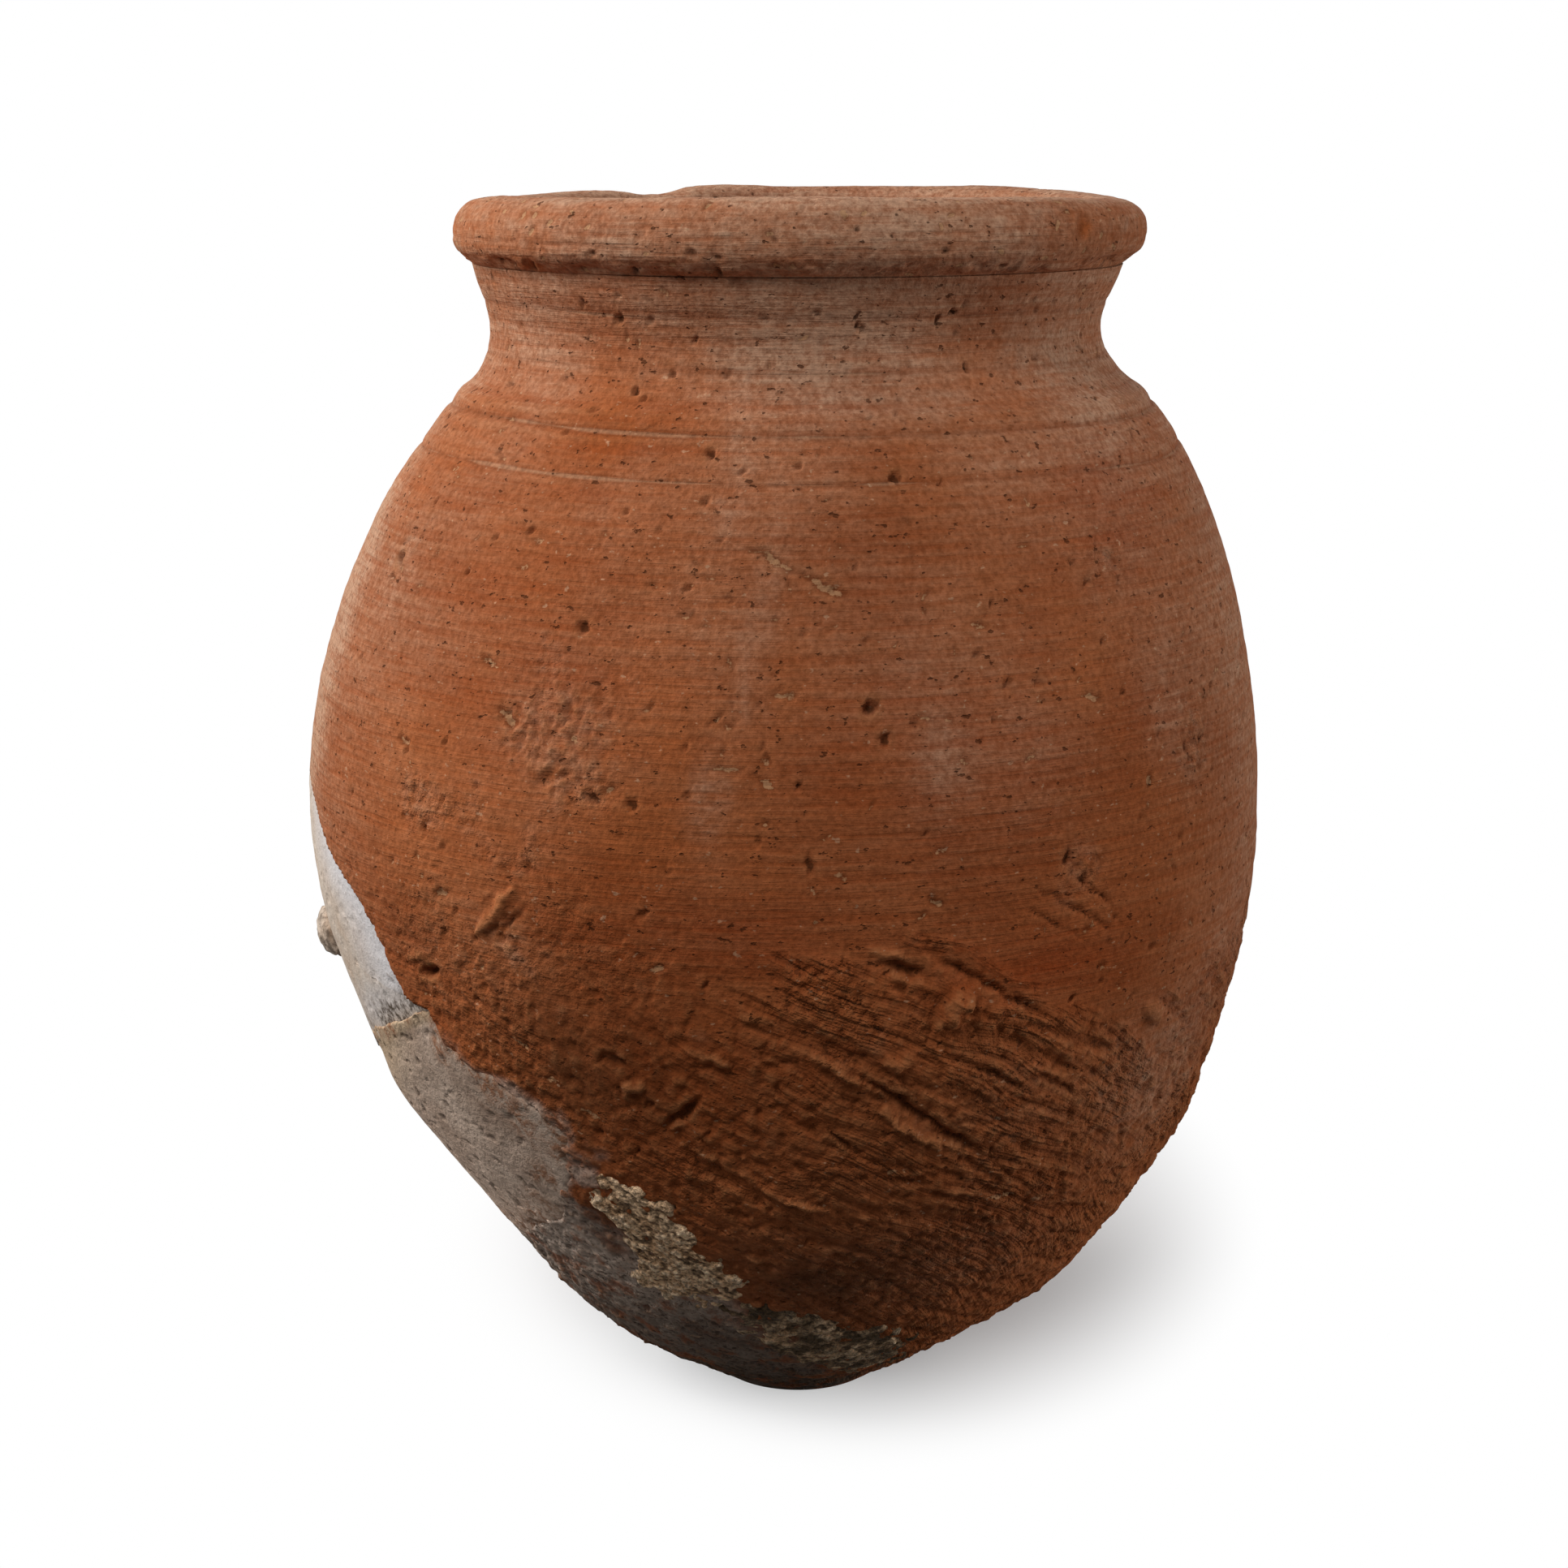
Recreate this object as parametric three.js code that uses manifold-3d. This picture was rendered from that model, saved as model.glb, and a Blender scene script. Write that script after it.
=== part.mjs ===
import * as THREE from 'three';
import { mergeVertices } from 'three/addons/utils/BufferGeometryUtils.js';
import Module from 'manifold-3d';

// Terracotta jar, in millimetres, +Z up, standing on its worn base at Z = 0.
// The jar faces -Y, and every piece is a body of its own, set on or into its neighbours.

// Stations of the outer face, from the foot up. Each rise is counted from the station below.
const HEEL_RISE = 17;
const KNEE_RISE = 23;
const HIP_RISE = 30;
const BELLY_RISE = 54;
const SHOULDER_RISE = 56;
const NECK_ROOT_RISE = 21;
const COLLAR_RISE = 6;
const THROAT_RISE = 8;
const NECK_TOP_RISE = 12.5;

// Radii of the body, each inset from the belly, and of the neck, each flared from the throat.
const FOOT_RADIUS = 16.5;
const BELLY_RADIUS = 94;
const HEEL_INSET = 51.7;
const KNEE_INSET = 30.1;
const HIP_INSET = 11.4;
const SHOULDER_INSET = 12.7;
const THROAT_RADIUS = 58.7;
const NECK_ROOT_FLARE = 9.3;
const COLLAR_FLARE = 3.1;
const NECK_TOP_FLARE = 3.6;

// Sideways drift of the hand-built wall from the belly's axis, towards +X.
const FOOT_LEAN = 2.8;
const HEEL_LEAN = 2.5;
const KNEE_LEAN = 4.7;
const HIP_LEAN = 2.3;
const SHOULDER_LEAN = 1.9;
const NECK_ROOT_LEAN = 3.4;
const THROAT_LEAN = 2;
const RIM_LEAN = 3.5;

// Wall, and the bevelled joints between the bands of clay: below the knee, above the hip and
// above the belly.
const WALL = 8;
const FOOT_THICKNESS = 10;
const JOINT_BEVEL = 6;
const JOINT_GAP = 0.3;
const BASE_JOINT_DROP = 10;
const LOWER_JOINT_RISE = 14;
const UPPER_JOINT_RISE = 18;

// Swell of the lower wall on the right, where it was pushed out from inside, over the knee.
const SWELL_AZIMUTH = 88;
const SWELL_RISE = 18;
const SWELL = 2.6;
const SWELL_HALF_WIDTH = 30;
const SWELL_HALF_HEIGHT = 11;

// Main strokes of the stick that scraped the lower body, each as azimuth, height over the knee,
// slant and depth: those seen in front, and the courses that carry them on round the back.
const STROKE_LENGTH = 44;
const STROKE_WIDTH = 4.6;
const FRONT_STROKES = [
  [-9, 31, -37, 1.1], [0, 18, -30, 1], [5, 58, -26, 1], [15, 43, -39, 1.7], [18, 20, -22, 1],
  [20, 70, -32, 1.1], [29, 53, -30, 1.1], [36, 29, -28, 1.1], [42, 14, -25, 1], [46, 58, -25, 1.1],
];
const COURSE_RISES = [14, 34, 56];
const COURSE_FROM = 62;
const COURSE_TO = 230;
const COURSE_SPACING = 30;
const COURSE_SLANT = -31;
const COURSE_DEPTH = 1.1;

// Lines cut into the turning shoulder, measured down from the neck root.
const FIRST_LINE_DROP = 7.5;
const SECOND_LINE_DROP = 18;
const LINE_WIDTH = 1.6;
const LINE_DEPTH = 0.7;

// Lip of the neck and the roll folded over it.
const LIP_RISE = 8.2;
const LIP_LEDGE = 2.9;
const LIP_THICKNESS = 5.6;
const ROLL_HEIGHT = 12.7;
const ROLL_BULGE = 5.2;
const ROLL_OVERHANG = 1;
const ROLL_LAND = 4.5;
const ROLL_OUTER_ROUND = 5.2;
const ROLL_INNER_ROUND = 3;

// Plaster in the broken wall. The break faces the azimuth given, and its outline is set out
// across that direction as sideways offset and height over the belly's widest ring.
const FILL_AZIMUTH = -80;
const FILL_RECESS = 1.2;
const LOWER_FILL_RECESS = 0.4;
const FILL_GAP = 0.3;
const FILL_JOINT = [[-40, -61], [-8, -52], [21.5, -41.5], [38, -34], [50, -28.5]];
const UPPER_BREAK = [
  [44.5, -28], [43, -24.5], [40, -16], [35.5, -11], [25, -5.5], [11, 3],
  [-14, 9], [-40, 4], [-62, -8], [-70, -28], [-62, -48],
];
const LOWER_BREAK = [
  [-28, -77], [0, -83], [28, -79.5], [49.5, -69.5], [61.5, -57], [65.5, -48],
  [64, -43.5], [58, -39], [51, -35],
];

// Pellet of plaster standing on the upper fill, below the belly's widest ring.
const LUMP_AZIMUTH = -82;
const LUMP_DROP = 27;
const LUMP_REACH = 4.2;
const LUMP_HALF_WIDTH = 6.5;
const LUMP_HALF_HEIGHT = 6;

// Deposits on the lower wall: azimuth, thickness, and outline across that direction as sideways
// offset and height over the knee.
const CRUST_GAP = 0.3;
const LIME_AZIMUTH = -20;
const LIME_THICKNESS = 1.5;
const LIME_OUTLINE = [
  [2.5, -5], [11.5, 1.5], [12.5, 5], [6.5, 13], [6, 19], [0, 26.5],
  [-8.5, 27], [-14, 24], [-8, 15], [-8, 8], [-12, 2],
];
const FOOT_CRUST_AZIMUTH = 4;
const FOOT_CRUST_THICKNESS = 0.9;
const FOOT_CRUST_OUTLINE = [
  [-15, -12], [-3, -19.5], [8, -28], [17, -26], [20, -20], [18, -15],
  [11.5, -10], [5, -10.5], [-8, -3.5], [-14.5, -1.5], [-20, -4.5],
];

// Fineness of the facets.
const SEGMENTS = 54;
const ROW_STEP = 7;
const SLOPE_STEP = 0.5;
const ROUND_STEPS = 5;
const LUMP_FACETS = 14;
const STROKE_SIDES = 10;
const WELD = 1e-4;

const wasm = await Module();
wasm.setup();

const heelHeight = HEEL_RISE;
const kneeHeight = heelHeight + KNEE_RISE;
const hipHeight = kneeHeight + HIP_RISE;
const bellyHeight = hipHeight + BELLY_RISE;
const shoulderHeight = bellyHeight + SHOULDER_RISE;
const neckRootHeight = shoulderHeight + NECK_ROOT_RISE;
const collarHeight = neckRootHeight + COLLAR_RISE;
const throatHeight = collarHeight + THROAT_RISE;
const neckTopHeight = throatHeight + NECK_TOP_RISE;
const lipHeight = neckTopHeight + LIP_RISE;
const rimHeight = neckTopHeight + JOINT_GAP + ROLL_HEIGHT;

const neckTopRadius = THROAT_RADIUS + NECK_TOP_FLARE;
const lipRadius = neckTopRadius - LIP_LEDGE;
const mouthRadius = lipRadius - LIP_THICKNESS;

const baseJoint = kneeHeight - BASE_JOINT_DROP;
const lowerJoint = hipHeight + LOWER_JOINT_RISE;
const upperJoint = bellyHeight + UPPER_JOINT_RISE;

// Smooth curve through [height, value] stations.
function curveThrough(stations) {
  const heights = stations.map((station) => station[0]);
  const values = stations.map((station) => station[1]);
  const curve = new THREE.CubicInterpolant(heights, values, 1, [0]);
  return (height) => curve.evaluate(height)[0];
}

const radiusAt = curveThrough([
  [0, FOOT_RADIUS],
  [heelHeight, BELLY_RADIUS - HEEL_INSET],
  [kneeHeight, BELLY_RADIUS - KNEE_INSET],
  [hipHeight, BELLY_RADIUS - HIP_INSET],
  [bellyHeight, BELLY_RADIUS],
  [shoulderHeight, BELLY_RADIUS - SHOULDER_INSET],
  [neckRootHeight, THROAT_RADIUS + NECK_ROOT_FLARE],
  [collarHeight, THROAT_RADIUS + COLLAR_FLARE],
  [throatHeight, THROAT_RADIUS],
  [neckTopHeight, neckTopRadius],
]);

const leanAt = curveThrough([
  [0, FOOT_LEAN],
  [heelHeight, HEEL_LEAN],
  [kneeHeight, KNEE_LEAN],
  [hipHeight, HIP_LEAN],
  [bellyHeight, 0],
  [shoulderHeight, SHOULDER_LEAN],
  [neckRootHeight, NECK_ROOT_LEAN],
  [throatHeight, THROAT_LEAN],
  [rimHeight, RIM_LEAN],
]);

// Outward slope of the outer face per unit of height.
function slopeAt(height) {
  const low = Math.max(height - SLOPE_STEP, 0);
  const high = Math.min(height + SLOPE_STEP, neckTopHeight);
  return (radiusAt(high) - radiusAt(low)) / (high - low);
}

// How far the wall swells out at an azimuth in radians and a height: a soft round bulge.
function swellAt(azimuth, height) {
  const level = kneeHeight + SWELL_RISE;
  const sideways = radiusAt(level) * (azimuth - THREE.MathUtils.degToRad(SWELL_AZIMUTH));
  const across = sideways / SWELL_HALF_WIDTH;
  const up = (height - level) / SWELL_HALF_HEIGHT;
  return SWELL * Math.exp(-across * across - up * up);
}

// Point of the wall at a height on its outer face, moved inwards square to that face.
function wallPoint(height, inset) {
  const slope = slopeAt(height);
  const shift = inset / Math.hypot(1, slope);
  return new THREE.Vector2(radiusAt(height) - shift, height + shift * slope);
}

// Evenly spaced heights from low to high.
function rowsBetween(low, high) {
  const count = Math.ceil((high - low) / ROW_STEP);
  return Array.from({ length: count + 1 }, (_, i) => THREE.MathUtils.lerp(low, high, i / count));
}

// Outer face of a band of wall, with the incised lines that fall on it.
function outerFace(low, high) {
  const lines = [SECOND_LINE_DROP, FIRST_LINE_DROP].map((drop) => neckRootHeight - drop);
  const cut = lines.filter((line) => line - LINE_WIDTH > low && line + LINE_WIDTH < high);
  const clear = (height) => cut.every((line) => Math.abs(height - line) > LINE_WIDTH);
  const plain = rowsBetween(low, high).filter(clear).map((height) => [height, 0]);
  const grooves = cut.flatMap((line) => [
    [line - LINE_WIDTH / 2, 0],
    [line, LINE_DEPTH],
    [line + LINE_WIDTH / 2, 0],
  ]);
  const rows = [...plain, ...grooves].sort((a, b) => a[0] - b[0]);
  return rows.map(([height, inset]) => wallPoint(height, inset));
}

// Face of the wall at one depth, from low to high.
function faceAt(inset, low, high) {
  return rowsBetween(low, high).map((height) => wallPoint(height, inset));
}

// Solid turned from a profile of radius and height, then swollen and drifted with the wall.
function turned(profile) {
  const geometry = new THREE.LatheGeometry(profile, SEGMENTS);
  geometry.rotateX(Math.PI / 2);
  const position = geometry.getAttribute('position');
  const point = new THREE.Vector3();
  for (let i = 0; i < position.count; i += 1) {
    point.fromBufferAttribute(position, i);
    const azimuth = Math.atan2(point.x, -point.y);
    const swell = swellAt(azimuth, point.z);
    point.x += leanAt(point.z) + swell * Math.sin(azimuth);
    point.y -= swell * Math.cos(azimuth);
    position.setXYZ(i, point.x, point.y, point.z);
  }
  return geometry;
}

// Closed ring of wall between two faces.
function ring(outer, inner) {
  return turned([...outer, ...inner.toReversed(), outer[0]]);
}

// Band of clay between two joints, bevelled so that each band laps over the one below.
function band(low, high) {
  const bottom = low + JOINT_GAP / 2;
  const top = high - JOINT_GAP / 2;
  return ring(outerFace(bottom, top), faceAt(WALL, bottom + JOINT_BEVEL, top + JOINT_BEVEL));
}

function toSolid(geometry) {
  const bare = geometry.clone();
  bare.deleteAttribute('normal');
  bare.deleteAttribute('uv');
  const welded = mergeVertices(bare, WELD);
  return new wasm.Manifold(new wasm.Mesh({
    numProp: 3,
    vertProperties: welded.getAttribute('position').array,
    triVerts: welded.getIndex().array,
  }));
}

function toGeometry(solid) {
  const mesh = solid.getMesh();
  const geometry = new THREE.BufferGeometry();
  geometry.setAttribute('position', new THREE.BufferAttribute(mesh.vertProperties, mesh.numProp));
  geometry.setIndex(new THREE.BufferAttribute(mesh.triVerts, 1));
  geometry.computeVertexNormals();
  return geometry;
}

// Unit vector pointing out of the jar at an azimuth, counted from the front towards +X.
function outwards(azimuth) {
  const angle = THREE.MathUtils.degToRad(azimuth);
  return new THREE.Vector3(Math.sin(angle), -Math.cos(angle), 0);
}

// Turns local X sideways, local Y up and local Z out of the jar at an azimuth.
function facing(azimuth) {
  const up = new THREE.Vector3(0, 0, 1);
  const out = outwards(azimuth);
  const sideways = up.clone().cross(out);
  return new THREE.Matrix4().makeBasis(sideways, up, out);
}

// Corners of an outline whose heights are counted from a datum.
function setOut(outline, datum) {
  return outline.map(([sideways, height]) => new THREE.Vector2(sideways, datum + height));
}

// Corners drawn in by a margin, or out when the margin is negative.
function drawIn(corners, margin) {
  const inward = (from, to) => new THREE.Vector2(from.y - to.y, to.x - from.x).normalize();
  return corners.map((corner, i) => {
    const next = corners[(i + 1) % corners.length];
    const ahead = inward(corner, next);
    const mitre = inward(corners.at(i - 1), corner).add(ahead).normalize();
    return corner.clone().addScaledVector(mitre, margin / mitre.dot(ahead));
  });
}

// Prism with the outline given, running out from the jar's axis at an azimuth.
function prism(corners, azimuth) {
  const shape = new THREE.Shape(corners);
  const depth = 2 * BELLY_RADIUS;
  const geometry = new THREE.ExtrudeGeometry(shape, { depth, bevelEnabled: false });
  geometry.applyMatrix4(facing(azimuth));
  return toSolid(geometry);
}

// Base cup, closed at the axis, with a flat foot.
function makeBase() {
  const top = baseJoint - JOINT_GAP / 2;
  const outer = faceAt(0, 0, top);
  const floor = new THREE.Vector2(0, FOOT_THICKNESS);
  const inner = faceAt(WALL, 0, top + JOINT_BEVEL).filter((point) => point.y > floor.y);
  const foot = new THREE.Vector2(0, 0);
  return turned([foot, ...outer, ...inner.toReversed(), floor]);
}

// Neck: concave outside, straight flare inside, with a ledge and a plain lip for the roll.
function makeNeck() {
  const bottom = neckRootHeight + JOINT_GAP / 2;
  const lip = [
    new THREE.Vector2(lipRadius, neckTopHeight),
    new THREE.Vector2(lipRadius, lipHeight),
    new THREE.Vector2(mouthRadius, lipHeight),
  ];
  const outer = [...outerFace(bottom, neckTopHeight), ...lip];
  return ring(outer, faceAt(WALL, bottom + JOINT_BEVEL, throatHeight));
}

// Quarter round from one direction to the next about a centre.
function quarterRound(radius, height, round, fromAngle, squash) {
  return Array.from({ length: ROUND_STEPS + 1 }, (_, i) => {
    const angle = fromAngle + (Math.PI / 2) * (i / ROUND_STEPS);
    return new THREE.Vector2(
      radius + round * Math.cos(angle),
      height + round * squash * Math.sin(angle),
    );
  });
}

// Folded rim: a bulging roll outside, a narrow land on top, and a hook over the neck's lip.
function makeRimRoll() {
  const under = neckTopHeight + JOINT_GAP;
  const seat = lipHeight + JOINT_GAP;
  const insideRadius = lipRadius + JOINT_GAP;
  const edgeRadius = neckTopRadius + ROLL_OVERHANG;
  const landRadius = mouthRadius + ROLL_INNER_ROUND + ROLL_LAND;
  const bulgeHeight = under + ROLL_BULGE;
  const upperSquash = (rimHeight - bulgeHeight) / ROLL_OUTER_ROUND;
  const lowerReach = landRadius + ROLL_OUTER_ROUND - edgeRadius;
  const below = quarterRound(edgeRadius, bulgeHeight, lowerReach, -Math.PI / 2, ROLL_BULGE / lowerReach);
  const above = quarterRound(landRadius, bulgeHeight, ROLL_OUTER_ROUND, 0, upperSquash);
  const mouth = quarterRound(
    mouthRadius + ROLL_INNER_ROUND,
    rimHeight - ROLL_INNER_ROUND,
    ROLL_INNER_ROUND,
    Math.PI / 2,
    1,
  );
  return turned([
    new THREE.Vector2(insideRadius, under),
    ...below,
    ...above.slice(1),
    ...mouth,
    new THREE.Vector2(mouthRadius, seat),
    new THREE.Vector2(insideRadius, seat),
    new THREE.Vector2(insideRadius, under),
  ]);
}

// Both outlines run anticlockwise and share the joint between the two batches of plaster.
const upperOutline = setOut([...FILL_JOINT, ...UPPER_BREAK], bellyHeight);
const lowerOutline = setOut([...FILL_JOINT.toReversed(), ...LOWER_BREAK], bellyHeight);

// Wall with the lost piece cut out of it.
function broken(geometry) {
  const lost = [upperOutline, lowerOutline].map((outline) => (
    prism(drawIn(outline, -FILL_GAP / 2), FILL_AZIMUTH)
  ));
  return toGeometry(lost.reduce((wall, piece) => wall.subtract(piece), toSolid(geometry)));
}

// Courses of strokes round the hidden side of the lower body, staggered like bricks.
function courseStrokes(rise, course) {
  const span = THREE.MathUtils.degToRad(COURSE_TO - COURSE_FROM);
  const count = Math.round((span * radiusAt(kneeHeight + rise)) / COURSE_SPACING);
  return Array.from({ length: count }, (_, i) => {
    const share = (i + (course % 2) / 2) / count;
    return [THREE.MathUtils.lerp(COURSE_FROM, COURSE_TO, share), rise, COURSE_SLANT, COURSE_DEPTH];
  });
}

// Round cutter of one stroke, laid along the wall's face and sunk into it to the depth given.
function stroke([azimuth, rise, slant, depth]) {
  const height = kneeHeight + rise;
  const bottom = wallPoint(height, depth);
  const round = STROKE_WIDTH ** 2 / (8 * depth) + depth / 2;
  const geometry = new THREE.CylinderGeometry(round, round, STROKE_LENGTH, STROKE_SIDES);
  geometry.rotateZ(THREE.MathUtils.degToRad(slant) - Math.PI / 2);
  geometry.translate(0, 0, round);
  geometry.rotateX(Math.atan(slopeAt(height)));
  geometry.applyMatrix4(facing(azimuth));
  const swell = swellAt(THREE.MathUtils.degToRad(azimuth), height);
  const seat = outwards(azimuth).multiplyScalar(bottom.x + swell);
  geometry.translate(seat.x + leanAt(height), seat.y, bottom.y);
  return toSolid(geometry);
}

// Wall with the main strokes of the stick cut into it.
function scraped(geometry) {
  const strokes = [...FRONT_STROKES, ...COURSE_RISES.flatMap(courseStrokes)].map(stroke);
  return toGeometry(toSolid(geometry).subtract(wasm.Manifold.union(strokes)));
}

// Piece of a ring of wall inside an outline.
function patch(outer, inner, corners, azimuth) {
  return toGeometry(toSolid(ring(outer, inner)).intersect(prism(corners, azimuth)));
}

// Batch of plaster cast into the break, set back from the wall's face.
function makeFill(outline, recess) {
  const low = baseJoint;
  const high = neckRootHeight;
  const corners = drawIn(outline, FILL_GAP / 2);
  return patch(faceAt(recess, low, high), faceAt(WALL, low, high), corners, FILL_AZIMUTH);
}

// Pellet of plaster, trimmed to sit on the face of the upper fill.
function makeLump() {
  const face = wallPoint(bellyHeight - LUMP_DROP, FILL_RECESS);
  const geometry = new THREE.SphereGeometry(1, LUMP_FACETS, LUMP_FACETS / 2);
  geometry.scale(LUMP_HALF_WIDTH, LUMP_HALF_HEIGHT, LUMP_REACH);
  geometry.applyMatrix4(facing(LUMP_AZIMUTH));
  const seat = outwards(LUMP_AZIMUTH).multiplyScalar(face.x);
  geometry.translate(seat.x + leanAt(face.y), seat.y, face.y);
  const low = baseJoint;
  const high = neckRootHeight;
  const wall = ring(faceAt(FILL_RECESS - FILL_GAP, low, high), faceAt(WALL, low, high));
  return toGeometry(toSolid(geometry).subtract(toSolid(wall)));
}

// Deposit of even thickness on the wall's face.
function makeCrust(outline, azimuth, thickness) {
  const low = SLOPE_STEP;
  const high = upperJoint;
  const outer = faceAt(-CRUST_GAP - thickness, low, high);
  return patch(outer, faceAt(-CRUST_GAP, low, high), setOut(outline, kneeHeight), azimuth);
}

function clay(color, roughness) {
  return new THREE.MeshStandardMaterial({ color, roughness, metalness: 0 });
}

const jar = new THREE.Group();
jar.name = 'terracotta_jar';

function add(name, geometry, material) {
  const mesh = new THREE.Mesh(geometry, material);
  mesh.name = name;
  jar.add(mesh);
}

const lowerWall = band(baseJoint, lowerJoint);
const bellyWall = band(lowerJoint, upperJoint);

add('base', makeBase(), clay('#6d5647', 0.95));
add('lower_wall', scraped(broken(lowerWall)), clay('#8a6149', 0.92));
add('belly_wall', scraped(broken(bellyWall)), clay('#a9704c', 0.9));
add('shoulder', band(upperJoint, neckRootHeight), clay('#ab724e', 0.88));
add('neck', makeNeck(), clay('#a06a49', 0.88));
add('rim_roll', makeRimRoll(), clay('#a87250', 0.88));
add('plaster_fill_upper', makeFill(upperOutline, FILL_RECESS), clay('#d8cab4', 0.95));
add('plaster_fill_lower', makeFill(lowerOutline, LOWER_FILL_RECESS), clay('#a99c8e', 0.95));
add('plaster_lump', makeLump(), clay('#c0a98b', 0.95));
add('lime_crust', makeCrust(LIME_OUTLINE, LIME_AZIMUTH, LIME_THICKNESS), clay('#a2967c', 1));
add(
  'foot_crust',
  makeCrust(FOOT_CRUST_OUTLINE, FOOT_CRUST_AZIMUTH, FOOT_CRUST_THICKNESS),
  clay('#857a69', 1),
);

export default jar;
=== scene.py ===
import math

import bpy
import numpy as np
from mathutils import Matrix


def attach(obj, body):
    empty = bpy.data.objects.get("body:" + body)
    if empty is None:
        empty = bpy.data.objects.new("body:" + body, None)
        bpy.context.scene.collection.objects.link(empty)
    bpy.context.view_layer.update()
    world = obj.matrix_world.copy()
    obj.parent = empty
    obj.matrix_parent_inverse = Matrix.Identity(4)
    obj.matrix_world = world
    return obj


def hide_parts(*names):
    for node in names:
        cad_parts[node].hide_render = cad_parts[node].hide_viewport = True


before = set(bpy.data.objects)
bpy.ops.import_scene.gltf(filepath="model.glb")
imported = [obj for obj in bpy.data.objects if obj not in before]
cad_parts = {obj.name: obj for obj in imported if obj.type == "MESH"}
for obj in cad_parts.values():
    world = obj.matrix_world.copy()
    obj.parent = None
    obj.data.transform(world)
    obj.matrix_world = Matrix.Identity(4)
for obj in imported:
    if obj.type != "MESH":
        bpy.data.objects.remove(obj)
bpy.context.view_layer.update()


# Clay wall: base, lower wall, belly, shoulder and neck
# Five bands of coarse clay tempered with chopped straw, built up from the base and luted together,
# smoothed on the wheel above the belly and scraped with a stick below it, then fired.

# Lengths are in millimetres until a mesh is made, and MM turns them into metres.
MM = 0.001
FINE_STEPS = 4000
WALL = 8.0
FOOT_THICKNESS = 10.0
JOINT_BEVEL = 6.0
BASE_JOINT, LOWER_JOINT, BELLY_JOINT, NECK_ROOT = 30.0, 84.0, 142.0, 201.0
THROAT, NECK_TOP = 215.0, 227.5
LIP_HEIGHT, LIP_RADIUS, MOUTH_RADIUS = 235.7, 59.4, 53.8
RIM_TOP = 240.5


def smooth_curve(stations):
    """Cubic through (place, value) stations; the slope at each is the mean of its two chords."""
    place, value = np.array(stations, float).T
    chord = np.diff(value) / np.diff(place)
    slope = np.concatenate([chord[:1], (chord[1:] + chord[:-1]) / 2, chord[-1:]])

    def at(x):
        x = np.clip(x, place[0], place[-1])
        i = np.clip(np.searchsorted(place, x, side="right") - 1, 0, len(chord) - 1)
        span = place[i + 1] - place[i]
        p = (x - place[i]) / span
        start = (1 + 2 * p) * (1 - p) ** 2 * value[i] + p * (1 - p) ** 2 * span * slope[i]
        end = p * p * (3 - 2 * p) * value[i + 1] - p * p * (1 - p) * span * slope[i + 1]
        return start + end

    return at


# Outer face of the wall, as height and radius, and its sideways lean, as height and shift.
wall_radius = smooth_curve([
    (0, 16.5), (17, 42.3), (40, 63.9), (70, 82.6), (124, 94),
    (180, 81.3), (NECK_ROOT, 68), (207, 61.8), (THROAT, 58.7), (NECK_TOP, 62.3),
])
wall_lean = smooth_curve([
    (0, 2.8), (17, 2.5), (40, 4.7), (70, 2.3), (124, 0),
    (180, 1.9), (NECK_ROOT, 3.4), (THROAT, 2), (RIM_TOP, 3.5),
])
fine_heights = np.linspace(0, NECK_TOP, FINE_STEPS)
fine_run = np.hypot(np.diff(fine_heights), np.diff(wall_radius(fine_heights)))
fine_run = np.concatenate([[0], np.cumsum(fine_run)])


def wall_run(height):
    """Length along the wall's slant from the foot up to a height."""
    return np.interp(height, fine_heights, fine_run)


def on_wall(theta, height, raised):
    """Points of the wall moved out square to its smooth face by raised, as x, y and z in millimetres.

    The azimuth theta is counted from the front towards +X, about an axis that leans with height.
    """
    near = 0.25
    slope = (wall_radius(height + near) - wall_radius(height - near)) / (2 * near)
    square = np.hypot(1, slope)
    radius = wall_radius(height) + raised / square
    x = wall_lean(height) + radius * np.sin(theta)
    return np.stack(np.broadcast_arrays(x, -radius * np.cos(theta), height - raised * slope / square), -1)


def step(low, high, x):
    """Eased step from 0 at low to 1 at high: three squares less two cubes of the share of the way."""
    p = np.clip((x - low) / (high - low), 0, 1)
    return p * p * (3 - 2 * p)


# Large primes, and shifts with primes, that stir a cell's whole numbers into a hash of 32 bits.
SEED_PRIME = 7919
CELL_PRIMES = (374761393, 668265263, 1274126177)
STIRS = [(13, 1274126177), (16, 2246822519)]
LOW_BITS = 2 ** 32 - 1


def grain(x, y, z, seed):
    """Smooth noise from -1 to 1: a hashed value at each corner of a unit cell, eased in between."""
    cells = [np.floor(axis).astype(np.int64) for axis in (x, y, z)]
    parts = [axis - cell for axis, cell in zip((x, y, z), cells)]
    parts = [part ** 3 * (part * (part * 6 - 15) + 10) for part in parts]
    total = 0.0
    for corner in range(8):
        mixed, weight = seed * SEED_PRIME, 1.0
        for k, prime in enumerate(CELL_PRIMES):
            bit = corner >> k & 1
            mixed = mixed + (cells[k] + bit) * prime
            weight = weight * (parts[k] if bit else 1 - parts[k])
        mixed = (mixed & LOW_BITS).astype(np.uint64)
        for shift, prime in STIRS:
            mixed = (mixed ^ mixed >> np.uint64(shift)) * np.uint64(prime) & np.uint64(LOW_BITS)
        total = total + weight * ((mixed >> np.uint64(8)).astype(float) / 2 ** 23 - 1)
    return total


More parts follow.
